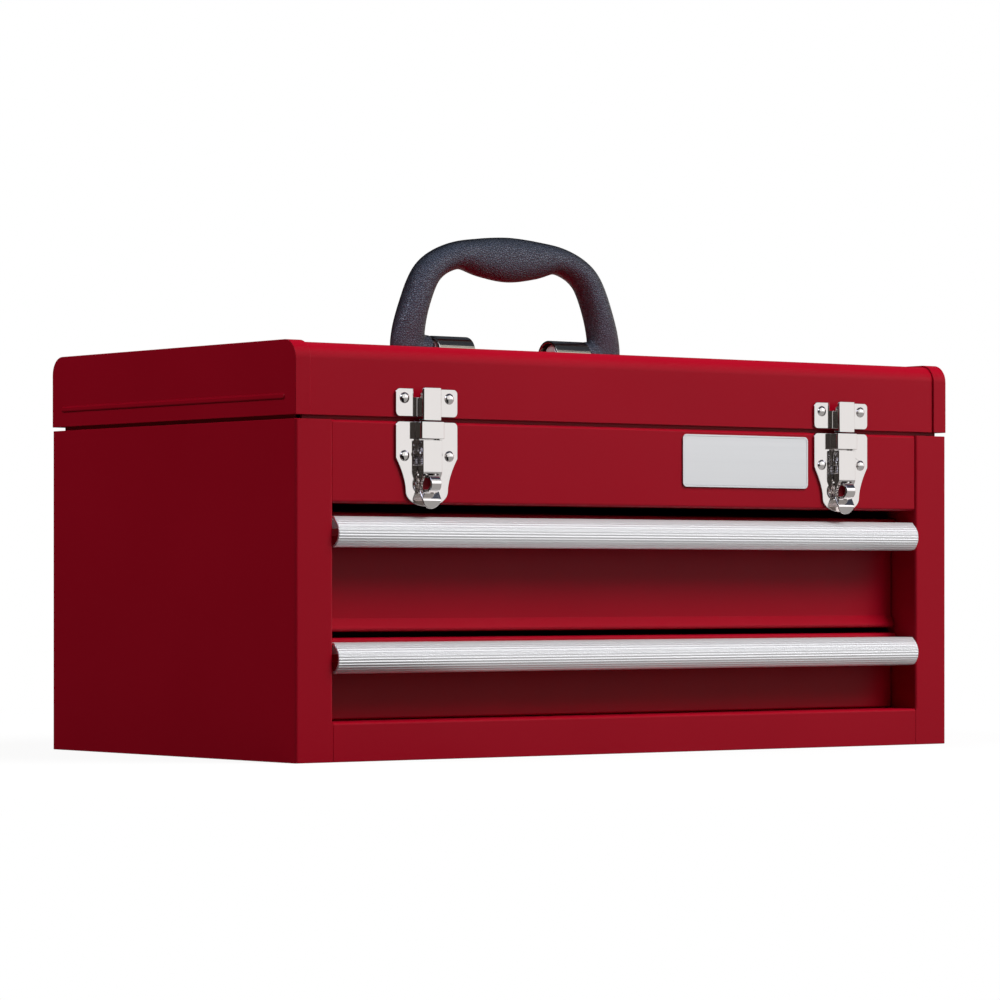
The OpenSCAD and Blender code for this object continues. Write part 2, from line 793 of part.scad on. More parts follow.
module handle_grip() {
    last = len(grip_line) - 1;
    half = [for (i = [0:last - 1]) for (t = [0, 0.5])
        let (
            a = i == 0 ? flipped(grip_line[1]) : grip_line[i - 1],
            d = i + 2 > last ? grip_line[last] - [0, 4, 0, 0] : grip_line[i + 2]
        )
        smooth(a, grip_line[i], grip_line[i + 1], d, t)];
    right = concat(half, [grip_line[last]]);
    line = concat([for (i = [len(right) - 1:-1:1]) flipped(right[i])], right);
    count = len(line);
    sides = 16;
    function ahead(i) =
        i == 0 ? [0, 1] : i == count - 1 ? [0, -1]
        : unit([line[i + 1][0] - line[i - 1][0], line[i + 1][1] - line[i - 1][1]]);
    points = [for (i = [0:count - 1]) for (k = [0:sides - 1])
        let (p = line[i], n = left_of(ahead(i)), w = 360 * k / sides)
        [
            p[0] + n[0] * p[2] * cos(w),
            p[3] * sin(w),
            pivot_z + p[1] + n[1] * p[2] * cos(w)
        ]];
    walls = [for (i = [0:count - 2]) for (k = [0:sides - 1])
        let (a = i * sides + k, b = i * sides + (k + 1) % sides) [a, b, b + sides, a + sides]];
    ends = [
        [for (k = [sides - 1:-1:0]) k],
        [for (k = [0:sides - 1]) (count - 1) * sides + k]
    ];
    color("#33373f") difference() {
        union() {
            polyhedron(points, concat(walls, ends), convexity = 6);
            for (s = [-1, 1]) mirrored(s) {
                x0 = arch_outer_x + elbow_in;
                x1 = foot_x + foot_half - elbow_r;
                // The elbow stands as high as the bracket beside it, with rounded ends
                hull() {
                    translate([x1, 0, pivot_z]) sphere(elbow_r, $fn = 32);
                    for (e = [[0, 1], [1, 0]]) translate([x0 + e[0], 0, pivot_z])
                        rotate([0, 90, 0]) cylinder(r = elbow_r - e[1], h = 1, $fn = 32);
                    for (e = [[0, 1], [1, 0]], z = [elbow_top - elbow_r + 0.6])
                        translate([x0 + e[0], 0, pivot_z + z]) rotate([0, 90, 0])
                            cylinder(r = elbow_r - 0.6 - e[1], h = 1, $fn = 32);
                    translate([x1 - 3, 0, pivot_z + elbow_top - elbow_r + 0.6])
                        rotate([0, 90, 0]) cylinder(r = elbow_r - 0.6, h = 1, $fn = 32);
                }
            }
        }
        for (s = [-1, 1]) mirrored(s)
            translate([arch_outer_x, 0, pivot_z]) rotate([0, 90, 0])
                cylinder(r = pin_core_r + running, h = pin_core_len);
    }
}

// Right pivot pin: a bearing length in the bracket and a core inside the grip
module handle_pin() {
    x0 = arch_inner_x + pin_end;
    x1 = arch_outer_x + elbow_in;
    translate([x0, 0, pivot_z]) rotate([0, 90, 0]) cylinder(r = pivot_pin_r, h = x1 - x0);
    translate([x0 + 1, 0, pivot_z]) rotate([0, 90, 0])
        cylinder(r = pin_core_r, h = x1 - x0 - 1 + pin_core_len - elbow_in - 0.2);
}

module left_handle_pin() { color("#c4c6c8") mirrored(-1) handle_pin(); }

module right_handle_pin() { color("#c4c6c8") handle_pin(); }

// ---------------------------------------------------------------- latches

// Middle of a latch along X
function latch_x(side) = side < 0 ? left_latch_inset - xr : xr - right_latch_inset;

// Places a latch piece: x from the latch's middle, y measured back from the columns' face
module at_latch(side) {
    translate([latch_x(side), yf, 0]) children();
}

// Keeper on the lid: a plate with a raised channel
module keeper() {
    half = latch_w / 2;
    hump = hump_w / 2;
    top = keeper_z1 + hump_rise;
    root = hump_root_r + latch_t;
    path = [
        [-half, -plate_out], [-hump, -plate_out], [-hump, -hump_out],
        [hump, -hump_out], [hump, -plate_out], [half, -plate_out]
    ];
    radii = [root, hump_edge_r, hump_edge_r, root];
    difference() {
        translate([0, 0, keeper_z0 - hump_drop]) linear_extrude(top - keeper_z0 + hump_drop)
            folded_sheet(path, r = radii, t = latch_t);
        // Only the channel reaches past the plate's corners
        along_y(-1.5 * hump_out, 2 * sheet) difference() {
            translate([-half - 1, keeper_z0 - hump_drop - 1])
                square([latch_w + 2, top - keeper_z0 + hump_drop + 2]);
            polygon(round_rect([-half, keeper_z0], [half, keeper_z1], latch_corner));
            polygon(round_rect([-hump, keeper_z0 - hump_drop], [hump, top], hump_edge_r));
        }
        // The channel's sides slope down to the lid
        for (s = [-1, 1]) mirrored(s) along_x(hump - latch_t - 0.1, hump + hump_notch) polygon([
            [-hump_out + hump_edge_r, top + 1], [-hump_out + hump_edge_r, top - hump_bend_drop],
            [-plate_out, keeper_z1 - hump_slope], [2 * sheet, keeper_z1 - hump_slope],
            [2 * sheet, top + 1]
        ]);
        for (d = [-1, 1])
            on_front(d * rivet_x, 2 * sheet, keeper_rivet_z)
                cylinder(r = shank_r + running, h = 4 * sheet);
    }
}

module left_keeper() { color("#cfcac6") at_latch(-1) keeper(); }

module right_keeper() { color("#cfcac6") at_latch(1) keeper(); }

module keeper_rivets() {
    color("#dad6d2") for (s = [-1, 1]) for (d = [-1, 1])
        on_front(latch_x(s) + d * rivet_x, yf + sheet - latch_t, keeper_rivet_z)
            rivet(rivet_r, shank_r, sheet + latch_t);
}

// Base plate under the lever: it narrows to a round lower end and carries two ears
module latch_base() {
    half = latch_w / 2;
    waist = shield_w / 2;
    r = latch_corner;
    kink = body_h - base_straight_h;
    round_z = body_h - base_h + shield_round;
    steps = 8;
    taper = [for (k = [0:steps]) let (u = 1 - k / steps)
        [waist + (half - waist) * pow(u, 1.7), round_z + (kink - round_z) * u]];
    outline = concat(
        [for (k = [0:6]) [half - r + r * cos(15 * k), body_h - r + r * sin(15 * k)]],
        [for (k = [0:6]) [-half + r - r * sin(15 * k), body_h - r + r * cos(15 * k)]],
        [for (p = taper) [-p[0], p[1]]],
        [for (w = [190:10:350]) [waist * cos(w), round_z + shield_round * sin(w)]],
        reversed(taper)
    );
    ear_x = lever_w / 2 - lever_wall - ear_in - ear_t;
    hole = staple_r - staple_wall;
    difference() {
        along_y(-plate_out, sheet) polygon(outline);
        for (d = [-1, 1])
            on_front(d * rivet_x, 2 * sheet, base_rivet_z)
                cylinder(r = shank_r + running, h = 4 * sheet);
        translate([-staple_w / 2, -plate_out - 1, staple_z - hole])
            cube([staple_w, latch_t + 2, 2 * hole]);
    }
    for (s = [-1, 1]) mirrored(s) difference() {
        union() {
            translate([ear_x, -lever_pin[0], lever_pin[1]]) rotate([0, 90, 0])
                cylinder(r = ear_r, h = ear_t);
            translate([ear_x, -lever_pin[0], lever_pin[1] - ear_r + ear_neck])
                cube([ear_t, lever_pin[0] + sheet / 2, 2 * (ear_r - ear_neck)]);
        }
        translate([ear_x - 1, -lever_pin[0], lever_pin[1]]) rotate([0, 90, 0])
            cylinder(r = latch_pin_r + running, h = ear_t + 2);
    }
}

module left_latch_base() { color("#cfcac6") at_latch(-1) latch_base(); }

module right_latch_base() { color("#cfcac6") at_latch(1) latch_base(); }

module latch_base_rivets() {
    color("#dad6d2") for (s = [-1, 1]) for (d = [-1, 1])
        on_front(latch_x(s) + d * rivet_x, yf + sheet - latch_t, base_rivet_z)
            rivet(rivet_r, shank_r, sheet + latch_t);
}

// Staple for a padlock: a strap bent into a loop that stands out through the lever's window
module staple() {
    y0 = -plate_out;
    bend = -(staple_out - staple_r);
    difference() {
        union() {
            translate([-staple_w / 2, bend, staple_z]) rotate([0, 90, 0])
                cylinder(r = staple_r, h = staple_w);
            translate([-staple_w / 2, bend, staple_z - staple_r])
                cube([staple_w, y0 - bend, 2 * staple_r]);
        }
        translate([-staple_w, bend, staple_z]) rotate([0, 90, 0])
            cylinder(r = staple_r - staple_wall, h = 2 * staple_w);
        translate([-staple_w, bend, staple_z - staple_r + staple_wall])
            cube([2 * staple_w, y0 - bend + 1, 2 * (staple_r - staple_wall)]);
    }
}

module left_staple() { color("#cfcac6") at_latch(-1) staple(); }

module right_staple() { color("#cfcac6") at_latch(1) staple(); }

// Lever: a channel that turns on the ears, with a window over the staple and a curled tongue
module lever() {
    half = lever_w / 2;
    dip = lever_out - window_dip;
    path = [
        [-lever_out, lever_top], [-lever_out, window_top + 0.3], [-dip, window_top - 5.6],
        [-dip, window_bottom + 1.4], [-lever_out + 0.3, tongue_z + 4.6],
        [-lever_out + 1.6, tongue_z]
    ];
    back = turn_r - lever_pin[0];
    wall = [
        [back, lever_pin[1]], [back, window_top + 4], [-dip + 0.3, window_top - 5.4],
        [-lever_out + 0.4, window_top], [-lever_out + 0.4, lever_pin[1]]
    ];
    difference() {
        union() {
            along_x(-half, half)
                folded_sheet(path, r = [3, 3, 3, 2.4], t = lever_wall, n = 3);
            for (s = [-1, 1]) mirrored(s) {
                along_x(half - lever_wall, half) polygon(wall);
                translate([half - lever_wall, -lever_pin[0], lever_pin[1]]) rotate([0, 90, 0])
                    cylinder(r = turn_r, h = lever_wall);
            }
        }
        along_y(-2 * lever_out, 0)
            polygon(round_rect(
                [-half + window_side, window_bottom], [half - window_side, window_top], 0.8
            ));
        translate([-lever_w, -lever_pin[0], lever_pin[1]]) rotate([0, 90, 0])
            cylinder(r = latch_pin_r + running, h = 2 * lever_w);
        // Room in the sides for the springs and the claw's pin
        translate([-lever_w, -lever_out + lever_wall, spring_z[0]])
            cube([2 * lever_w, lever_out, spring_z[1] - spring_z[0]]);
        tongue_corners();
        // The sides end level with the face
        translate([-half - 1, -2 * lever_out, lever_top]) cube([lever_w + 2, 2 * lever_out, turn_r]);
    }
}

// Cuts the tongue's lower corners round
module tongue_corners() {
    half = lever_w / 2;
    along_y(-2 * lever_out, 0) difference() {
        translate([-half - 1, tongue_z - 1]) square([lever_w + 2, half + 0.6]);
        translate([0, tongue_z + half]) circle(r = half + 0.01);
    }
}

module left_lever() { color("#d8d4cf") at_latch(-1) lever(); }

module right_lever() { color("#d8d4cf") at_latch(1) lever(); }

module lever_pivot() {
    half = lever_w / 2;
    translate([-half, -lever_pin[0], lever_pin[1]]) rotate([0, 90, 0])
        cylinder(r = latch_pin_r, h = lever_w);
}

module left_lever_pin() { color("#a8a39e") at_latch(-1) lever_pivot(); }

module right_lever_pin() { color("#a8a39e") at_latch(1) lever_pivot(); }

// Claw: a channel above the lever with two arms down to its own pin
module claw() {
    top = body_h;
    low = lever_top + claw_gap;
    back = turn_r - lever_pin[0];
    inner = claw_x - claw_wall;
    translate([0, 0, low]) linear_extrude(top - low)
        folded_sheet([
            [claw_x, back], [claw_x, -claw_out], [-claw_x, -claw_out], [-claw_x, back]
        ], r = 1.2, t = claw_wall);
    for (s = [-1, 1]) mirrored(s) difference() {
        union() {
            translate([inner, -claw_pin[0], claw_pin[1]]) rotate([0, 90, 0])
                cylinder(r = claw_end_r, h = claw_wall);
            along_x(inner, claw_x) polygon([
                [back, low + 1], [back, claw_pin[1] - 0.8], [-claw_pin[0], claw_pin[1] - claw_end_r],
                [-claw_pin[0], claw_pin[1] + claw_end_r], [back - claw_arm_w, claw_pin[1] + 2],
                [back - claw_arm_w, lever_pin[1] - 0.6], [-claw_out / 2, lever_pin[1] + 0.6],
                [-claw_out / 2, low + 1]
            ]);
        }
        translate([inner - 1, -claw_pin[0], claw_pin[1]]) rotate([0, 90, 0])
            cylinder(r = latch_pin_r + running, h = claw_wall + 2);
    }
}

module left_claw() { color("#cfcac6") at_latch(-1) claw(); }

module right_claw() { color("#cfcac6") at_latch(1) claw(); }

module claw_pivot() {
    translate([-claw_x, -claw_pin[0], claw_pin[1]]) rotate([0, 90, 0])
        cylinder(r = latch_pin_r, h = 2 * claw_x);
    for (s = [-1, 1]) mirrored(s)
        translate([claw_x, -claw_pin[0], claw_pin[1]]) rotate([0, 90, 0])
            cylinder(r = latch_pin_r + 0.55, h = pin_head_h);
}

module left_claw_pin() { color("#a8a39e") at_latch(-1) claw_pivot(); }

module right_claw_pin() { color("#a8a39e") at_latch(1) claw_pivot(); }

// Springs that stand in the lever's sides and press on the claw's pin from below and above
module latch_springs() {
    ends = [
        [spring_z[0], claw_pin[1] - latch_pin_r],
        [claw_pin[1] + latch_pin_r, spring_z[1]]
    ];
    for (s = [-1, 1]) for (e = ends)
        translate([s * spring_x, -(spring_front + spring_back) / 2, e[0]]) difference() {
            cylinder(r = spring_r, h = e[1] - e[0]);
            translate([0, 0, -1]) cylinder(r = spring_r - spring_wire, h = e[1] - e[0] + 2);
        }
}

module left_latch_springs() { color("#8f8a86") at_latch(-1) latch_springs(); }

module right_latch_springs() { color("#8f8a86") at_latch(1) latch_springs(); }

// ---------------------------------------------------------------- plate

// Blank plate on the top rail, beside the right latch
module name_plate() {
    x1 = latch_x(1) - latch_w / 2 - plate_gap;
    z0 = open_top + plate_low;
    color("#cdd0d2") along_y(face_y - plate_t, face_y)
        polygon(round_rect([x1 - plate_w, z0], [x1, z0 + plate_h], plate_corner));
}

left_side_panel();
right_side_panel();
back_panel();
bottom_panel();
front_bottom_rail();
front_top_rail();
top_compartment();
left_upper_runner();
right_upper_runner();
left_lower_runner();
right_lower_runner();
hinge_body_leaf();
hinge_lid_leaf();
hinge_pin();
hinge_body_rivets();
hinge_lid_rivets();
lid_shell();
lid_left_cap();
lid_right_cap();
left_handle_bracket();
right_handle_bracket();
left_handle_bearing();
right_handle_bearing();
bracket_rivets();
handle_grip();
left_handle_pin();
right_handle_pin();
upper_drawer_tray();
upper_drawer_front();
upper_drawer_pull();
upper_pull_screws();
lower_drawer_tray();
lower_drawer_front();
lower_drawer_pull();
lower_pull_screws();
left_keeper();
right_keeper();
keeper_rivets();
left_latch_base();
right_latch_base();
latch_base_rivets();
left_staple();
right_staple();
left_lever();
right_lever();
left_lever_pin();
right_lever_pin();
left_claw();
right_claw();
left_claw_pin();
right_claw_pin();
left_latch_springs();
right_latch_springs();
name_plate();
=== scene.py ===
# %% [markdown]
# # A portable steel tool box
# The CAD model gives every sheet, pin and plate its place. This script keeps those places
# and gives each piece the finish of the real thing: enamel on folded steel, mirror chrome on
# the latches, fluted aluminium on the drawer pulls and a grained plastic grip. Pieces whose
# edges or surface matter up close are made again here, and each one rides on a CAD body, so
# the lid, the drawers, the handle and the latches still move.

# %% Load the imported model
import json
import math

import bmesh
import bpy
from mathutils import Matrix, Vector

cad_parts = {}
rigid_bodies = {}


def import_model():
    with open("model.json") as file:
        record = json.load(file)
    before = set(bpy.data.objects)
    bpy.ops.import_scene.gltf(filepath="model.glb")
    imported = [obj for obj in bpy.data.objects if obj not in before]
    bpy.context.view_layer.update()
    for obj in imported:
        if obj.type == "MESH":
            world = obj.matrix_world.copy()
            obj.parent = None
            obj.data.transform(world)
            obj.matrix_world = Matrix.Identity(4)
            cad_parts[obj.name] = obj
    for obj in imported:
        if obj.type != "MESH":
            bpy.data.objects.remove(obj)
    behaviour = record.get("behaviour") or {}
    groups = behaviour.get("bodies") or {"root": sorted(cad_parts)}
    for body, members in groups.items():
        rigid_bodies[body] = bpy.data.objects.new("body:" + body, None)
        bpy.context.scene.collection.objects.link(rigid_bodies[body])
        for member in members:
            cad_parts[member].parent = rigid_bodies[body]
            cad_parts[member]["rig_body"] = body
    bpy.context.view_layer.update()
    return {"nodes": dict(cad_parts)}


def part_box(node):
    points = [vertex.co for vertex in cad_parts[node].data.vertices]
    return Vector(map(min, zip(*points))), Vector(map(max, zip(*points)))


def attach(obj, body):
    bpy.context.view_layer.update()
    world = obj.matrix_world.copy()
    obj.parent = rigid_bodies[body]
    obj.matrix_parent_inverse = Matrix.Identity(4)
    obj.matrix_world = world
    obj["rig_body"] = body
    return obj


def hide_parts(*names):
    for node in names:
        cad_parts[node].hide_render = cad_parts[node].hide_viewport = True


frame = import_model()
scene = bpy.context.scene
scene.view_settings.view_transform = "Standard"
MM = 0.001
TINY = 1e-6

# %% [markdown]
# ## Camera
# A product shot like this is taken with a long lens from a low tripod, so the box's upright
# edges stay parallel. The camera is kept level and its picture is moved up with the lens
# shift, as a photographer does with a view camera. Tilting the camera instead would make
# the upright edges lean.

# %% Camera
FOCAL_LENGTH = 154.18
LENS_SHIFT = 0.0832
TRIPOD = (-1.49033, -1.95295, 0.0936)
TURN = math.radians(-37.255)

camera_data = bpy.data.cameras.new("product_camera")
camera_data.sensor_width = 36
camera_data.lens = FOCAL_LENGTH
camera_data.shift_y = LENS_SHIFT
camera = bpy.data.objects.new("product_camera", camera_data)
camera.location = TRIPOD
camera.rotation_euler = (math.radians(90), 0, TURN)
scene.collection.objects.link(camera)
scene.camera = camera
print("camera stands", round(camera.location.length, 2), "m from the box")

# %% [markdown]
# ## Studio
# The real studio is a white sweep with soft boxes. A white world could light everything
# evenly, but then all sides would look the same. Here the world gives a weak even light, and
# shows white only to the camera and in reflections. Three large area lamps add the shape. The
# key hangs high on the front right, so the front is bright and the drawers lie in the shadow
# of their pulls. A weaker fill above the left side keeps that side darker than the front. The
# third lamp stands behind the box, so that its back isn't black when it is looked at.

# %% World
def link(tree, out, into):
    """Joins two sockets of a node tree."""
    tree.links.new(out, into)


EVEN_LIGHT = 0.15

world = bpy.data.worlds.new("white_studio")
world.use_nodes = True
scene.world = world
sky = world.node_tree
sky.nodes.clear()
even_light = sky.nodes.new("ShaderNodeBackground")
even_light.inputs["Strength"].default_value = EVEN_LIGHT
seen_white = sky.nodes.new("ShaderNodeBackground")
seen_white.inputs["Color"].default_value = (1, 1, 1, 1)
seen_white.inputs["Strength"].default_value = 1.0


def seen_mask(tree):
    """1 for camera, glossy and transmission rays, else 0."""
    rays = tree.nodes.new("ShaderNodeLightPath")
    first = tree.nodes.new("ShaderNodeMath")
    first.operation = "MAXIMUM"
    second = tree.nodes.new("ShaderNodeMath")
    second.operation = "MAXIMUM"
    link(tree, rays.outputs["Is Camera Ray"], first.inputs[0])
    link(tree, rays.outputs["Is Glossy Ray"], first.inputs[1])
    link(tree, first.outputs[0], second.inputs[0])
    link(tree, rays.outputs["Is Transmission Ray"], second.inputs[1])
    return second.outputs[0]


sky_mix = sky.nodes.new("ShaderNodeMixShader")
sky_out = sky.nodes.new("ShaderNodeOutputWorld")
link(sky, seen_mask(sky), sky_mix.inputs[0])
link(sky, even_light.outputs[0], sky_mix.inputs[1])
link(sky, seen_white.outputs[0], sky_mix.inputs[2])
link(sky, sky_mix.outputs[0], sky_out.inputs["Surface"])
print("world gives", EVEN_LIGHT, "and looks white")


# %% Lamps
BOX_MIDDLE = Vector((0, 0, 0.12))


def soft_box(name, spot, width, watts):
    """A large square lamp that points at the box. Reflections don't show it."""
    data = bpy.data.lights.new(name, "AREA")
    data.shape = "RECTANGLE"
    data.size, data.size_y, data.energy = width, width, watts
    lamp = bpy.data.objects.new(name, data)
    lamp.location = spot
    lamp.rotation_euler = (BOX_MIDDLE - Vector(spot)).to_track_quat("-Z", "Y").to_euler()
    lamp.visible_glossy = False
    scene.collection.objects.link(lamp)
    return lamp


lamps = [
    soft_box("key_box", (1.4, -1.75, 2.55), 1.7, 123),
    soft_box("fill_box", (-1.3, 0.3, 1.9), 1.0, 25),
    soft_box("back_box", (0.6, 2.2, 0.7), 1.2, 20),
]
print("lamps:", [lamp.name for lamp in lamps])

# %% [markdown]
# ## Floor and reflection boards
# The floor is white to the eye, yet it has to keep the box's shadow. Part of its brightness
# is therefore its own and part comes from the lamps. The lamps' share fades out half a metre
# away, so the floor runs into the white background without a line. The boards stand out of
# sight, where only reflections meet them. Photographers put them up so that polished metal
# has something dark to show. Without them, chrome in a white room looks like plaster. Three
# bright cards do the opposite and put the highlights on the latches, the pulls and the grip.

# %% Floor
def board(name, corners):
    """A flat rectangle from its corners."""
    mesh = bpy.data.meshes.new(name)
    mesh.from_pydata(corners, [], [(0, 1, 2, 3)])
    obj = bpy.data.objects.new(name, mesh)
    scene.collection.objects.link(obj)
    return obj


def bare_material(name):
    """A material with an empty tree, and its output node."""
    material = bpy.data.materials.new(name)
    material.use_nodes = True
    material.node_tree.nodes.clear()
    return material, material.node_tree, material.node_tree.nodes.new("ShaderNodeOutputMaterial")


def lying(left, front, right, back, z):
    """The corners of a level board."""
    return [(left, front, z), (right, front, z), (right, back, z), (left, back, z)]


def standing(start, end, low, high):
    """The corners of an upright board over a line on the floor."""
    return [(*start, low), (*end, low), (*end, high), (*start, high)]


SHADOW_REACH, WHITE_FROM = 0.3, 0.75
floor = board("studio_floor", lying(-9, -9, 9, 9, 0))
floor_paint, tree, out = bare_material("floor_white")
where = tree.nodes.new("ShaderNodeTexCoord")
far = tree.nodes.new("ShaderNodeVectorMath")
far.operation = "LENGTH"
link(tree, where.outputs["Object"], far.inputs[0])
fade = tree.nodes.new("ShaderNodeMapRange")
fade.interpolation_type = "SMOOTHSTEP"
fade.inputs["From Min"].default_value = SHADOW_REACH
fade.inputs["From Max"].default_value = WHITE_FROM
link(tree, far.outputs["Value"], fade.inputs["Value"])
lit = tree.nodes.new("ShaderNodeBsdfDiffuse")
lit.inputs["Color"].default_value = (0.085, 0.085, 0.085, 1)
own = tree.nodes.new("ShaderNodeEmission")
own.inputs["Strength"].default_value = 0.9
near = tree.nodes.new("ShaderNodeAddShader")
pure = tree.nodes.new("ShaderNodeEmission")
white = tree.nodes.new("ShaderNodeMixShader")
plain = tree.nodes.new("ShaderNodeBsdfDiffuse")
plain.inputs["Color"].default_value = (0.12, 0.12, 0.12, 1)
choose = tree.nodes.new("ShaderNodeMixShader")
link(tree, lit.outputs[0], near.inputs[0])
link(tree, own.outputs[0], near.inputs[1])
link(tree, fade.outputs["Result"], white.inputs[0])
link(tree, near.outputs[0], white.inputs[1])
link(tree, pure.outputs[0], white.inputs[2])
link(tree, seen_mask(tree), choose.inputs[0])
link(tree, plain.outputs[0], choose.inputs[1])
link(tree, white.outputs[0], choose.inputs[2])
link(tree, choose.outputs[0], out.inputs["Surface"])
floor.data.materials.append(floor_paint)
print("floor covers", [round(v) for v in floor.dimensions[:2]], "m")


# %% Reflection boards
def mirror_board(name, corners, color):
    """A board with a plain glow of its own, dark or bright, that only reflections show."""
    obj = board(name, corners)
    material, tree, out = bare_material(name + "_cloth")
    glow = tree.nodes.new("ShaderNodeEmission")
    glow.inputs["Color"].default_value = (*color, 1)
    link(tree, glow.outputs[0], out.inputs["Surface"])
    obj.data.materials.append(material)
    for rays in ("camera", "diffuse", "transmission", "volume_scatter", "shadow"):
        setattr(obj, "visible_" + rays, False)
    return obj


BLACK = (0.010, 0.010, 0.011)
ON_FLOOR = 0.0004
boards = [
    mirror_board("left_board", standing((-1.2, -0.9), (-1.2, 3), 0, 2.4), BLACK),
    mirror_board("back_board", standing((-1.2, 3), (4.5, 3), 0, 2.4), BLACK),
    mirror_board("camera_board", standing((-1.9, -0.9), (-0.75, -2.0), 0, 1.1),
                 (0.055, 0.050, 0.046)),
    mirror_board("ceiling_board", lying(-4, -2.4, 6, 3, 2.3), (0.058, 0.066, 0.092)),
    mirror_board("key_card",
                 [(0.5, -1.7, 1.3), (1.3, -1.0, 1.3), (1.5, -1.4, 2.2), (0.7, -2.1, 2.2)],
                 (0.8, 0.8, 0.84)),
    mirror_board("right_card", standing((0.9, -2.3), (3.0, -1.5), 0.5, 1.5), (1.75, 1.75, 1.8)),
    mirror_board("left_card", standing((-1.15, -0.85), (-1.15, 0.0), 0.6, 1.3), (2.6, 2.8, 3.5)),
    mirror_board("left_floor_board", lying(-4, -6, -0.1, 6, ON_FLOOR), BLACK),
    mirror_board("front_floor_board", lying(-0.1, -6, 4, 6, ON_FLOOR), (0.40, 0.395, 0.39)),
]
print("boards:", [b.name for b in boards])

# %% [markdown]
# ## Effects shared by several finishes
# Real finishes are never quite even. Enamel dries with a faint orange peel, drawn metal keeps
# fine lines along its length, and polished metal picks up light smudges. Each effect is one
# shader node group, built once and placed in every material that needs it with its own
# values. The groups only put out numbers, so the same group can drive colour, roughness or
# bump.

# %% Effect groups
def effect_group(name, inputs, outputs):
    """An empty shader group with named number inputs and outputs."""
    group = bpy.data.node_groups.new(name, "ShaderNodeTree")
    for label, value in inputs.items():
        socket = group.interface.new_socket(label, in_out="INPUT", socket_type="NodeSocketFloat")
        socket.default_value = value
    for label in outputs:
        group.interface.new_socket(label, in_out="OUTPUT", socket_type="NodeSocketFloat")
    return group, group.nodes.new("NodeGroupInput"), group.nodes.new("NodeGroupOutput")


def scaled_noise(group, scale, detail, vector=None):
    """Noise on object coordinates. Its scale comes from a socket."""
    if vector is None:
        vector = group.nodes.new("ShaderNodeTexCoord").outputs["Object"]
    noise = group.nodes.new("ShaderNodeTexNoise")
    noise.inputs["Detail"].default_value = detail
    link(group, vector, noise.inputs["Vector"])
    link(group, scale, noise.inputs["Scale"])
    return noise.outputs["Fac"]


NOISE_LOW, NOISE_HIGH = 0.3, 0.7


def put_level(group, noise, given, made):
    """Spreads a noise between the group's Low and High and puts it out as Level."""
    node = group.nodes.new("ShaderNodeMapRange")
    node.inputs["From Min"].default_value = NOISE_LOW
    node.inputs["From Max"].default_value = NOISE_HIGH
    link(group, noise, node.inputs["Value"])
    link(group, given.outputs["Low"], node.inputs["To Min"])
    link(group, given.outputs["High"], node.inputs["To Max"])
    link(group, node.outputs["Result"], made.inputs["Level"])


# Cloudy: slow unevenness between two levels, for shade and for gloss
cloudy, given, made = effect_group("cloudy", {"Scale": 30, "Low": 0.3, "High": 0.4}, ["Level"])
put_level(cloudy, scaled_noise(cloudy, given.outputs["Scale"], 3.0), given, made)

# Peel: the fine waviness of a sprayed film
peel, given, made = effect_group("peel", {"Scale": 450}, ["Height"])
link(peel, scaled_noise(peel, given.outputs["Scale"], 1.5), made.inputs["Height"])

# Drawn: lines that run along X, as on extruded or brushed metal. The noise is pulled out along
# X until each spot of it is a line.
ALONG_X = (0.002, 1, 1)
drawn, given, made = effect_group(
    "drawn", {"Scale": 900, "Low": 0.2, "High": 0.3}, ["Height", "Level"]
)
coords = drawn.nodes.new("ShaderNodeTexCoord")
stretch = drawn.nodes.new("ShaderNodeMapping")
stretch.inputs["Scale"].default_value = ALONG_X
link(drawn, coords.outputs["Object"], stretch.inputs["Vector"])
lines = scaled_noise(drawn, given.outputs["Scale"], 2.0, stretch.outputs[0])
link(drawn, lines, made.inputs["Height"])
put_level(drawn, lines, given, made)
print("effect groups:", cloudy.name, peel.name, drawn.name)

# %% [markdown]
# The grip's skin is a leather grain: small pebbles with creases between them. A noise alone
# looks like sand. Voronoi cells give the pebbles, and bending their coordinates with a noise
# keeps the creases from looking like a honeycomb.

# %% Grain group
BEND_SCALE = 500
BEND_BY = (0.9 * MM, 0.9 * MM, 0.9 * MM)
CREASE_WIDTH = 0.22
grain, given, made = effect_group("grain", {"Scale": 900}, ["Height", "Crease"])
coords = grain.nodes.new("ShaderNodeTexCoord")
bend = grain.nodes.new("ShaderNodeTexNoise")
bend.inputs["Scale"].default_value = BEND_SCALE
link(grain, coords.outputs["Object"], bend.inputs["Vector"])
shift = grain.nodes.new("ShaderNodeVectorMath")
shift.operation = "MULTIPLY_ADD"
shift.inputs[1].default_value = BEND_BY
link(grain, bend.outputs["Color"], shift.inputs[0])
link(grain, coords.outputs["Object"], shift.inputs[2])
cells = grain.nodes.new("ShaderNodeTexVoronoi")
cells.feature = "DISTANCE_TO_EDGE"
link(grain, shift.outputs[0], cells.inputs["Vector"])
link(grain, given.outputs["Scale"], cells.inputs["Scale"])
pebble = grain.nodes.new("ShaderNodeMapRange")
pebble.interpolation_type = "SMOOTHSTEP"
pebble.inputs["From Max"].default_value = CREASE_WIDTH
link(grain, cells.outputs["Distance"], pebble.inputs["Value"])
link(grain, pebble.outputs["Result"], made.inputs["Height"])
crease = grain.nodes.new("ShaderNodeMath")
crease.operation = "SUBTRACT"
crease.inputs[0].default_value = 1.0
link(grain, pebble.outputs["Result"], crease.inputs[1])
link(grain, crease.outputs[0], made.inputs["Crease"])
print("grain group has", len(grain.nodes), "nodes")


# %% [markdown]
# ## Finishes
# Each finish is one material. Its fixed numbers sit on the shader's own sockets, and only
# what changes over the surface comes from an effect group. The enamel has a low specular
# level: paint on a tool box is semi-gloss and shows its own red far more than the room.

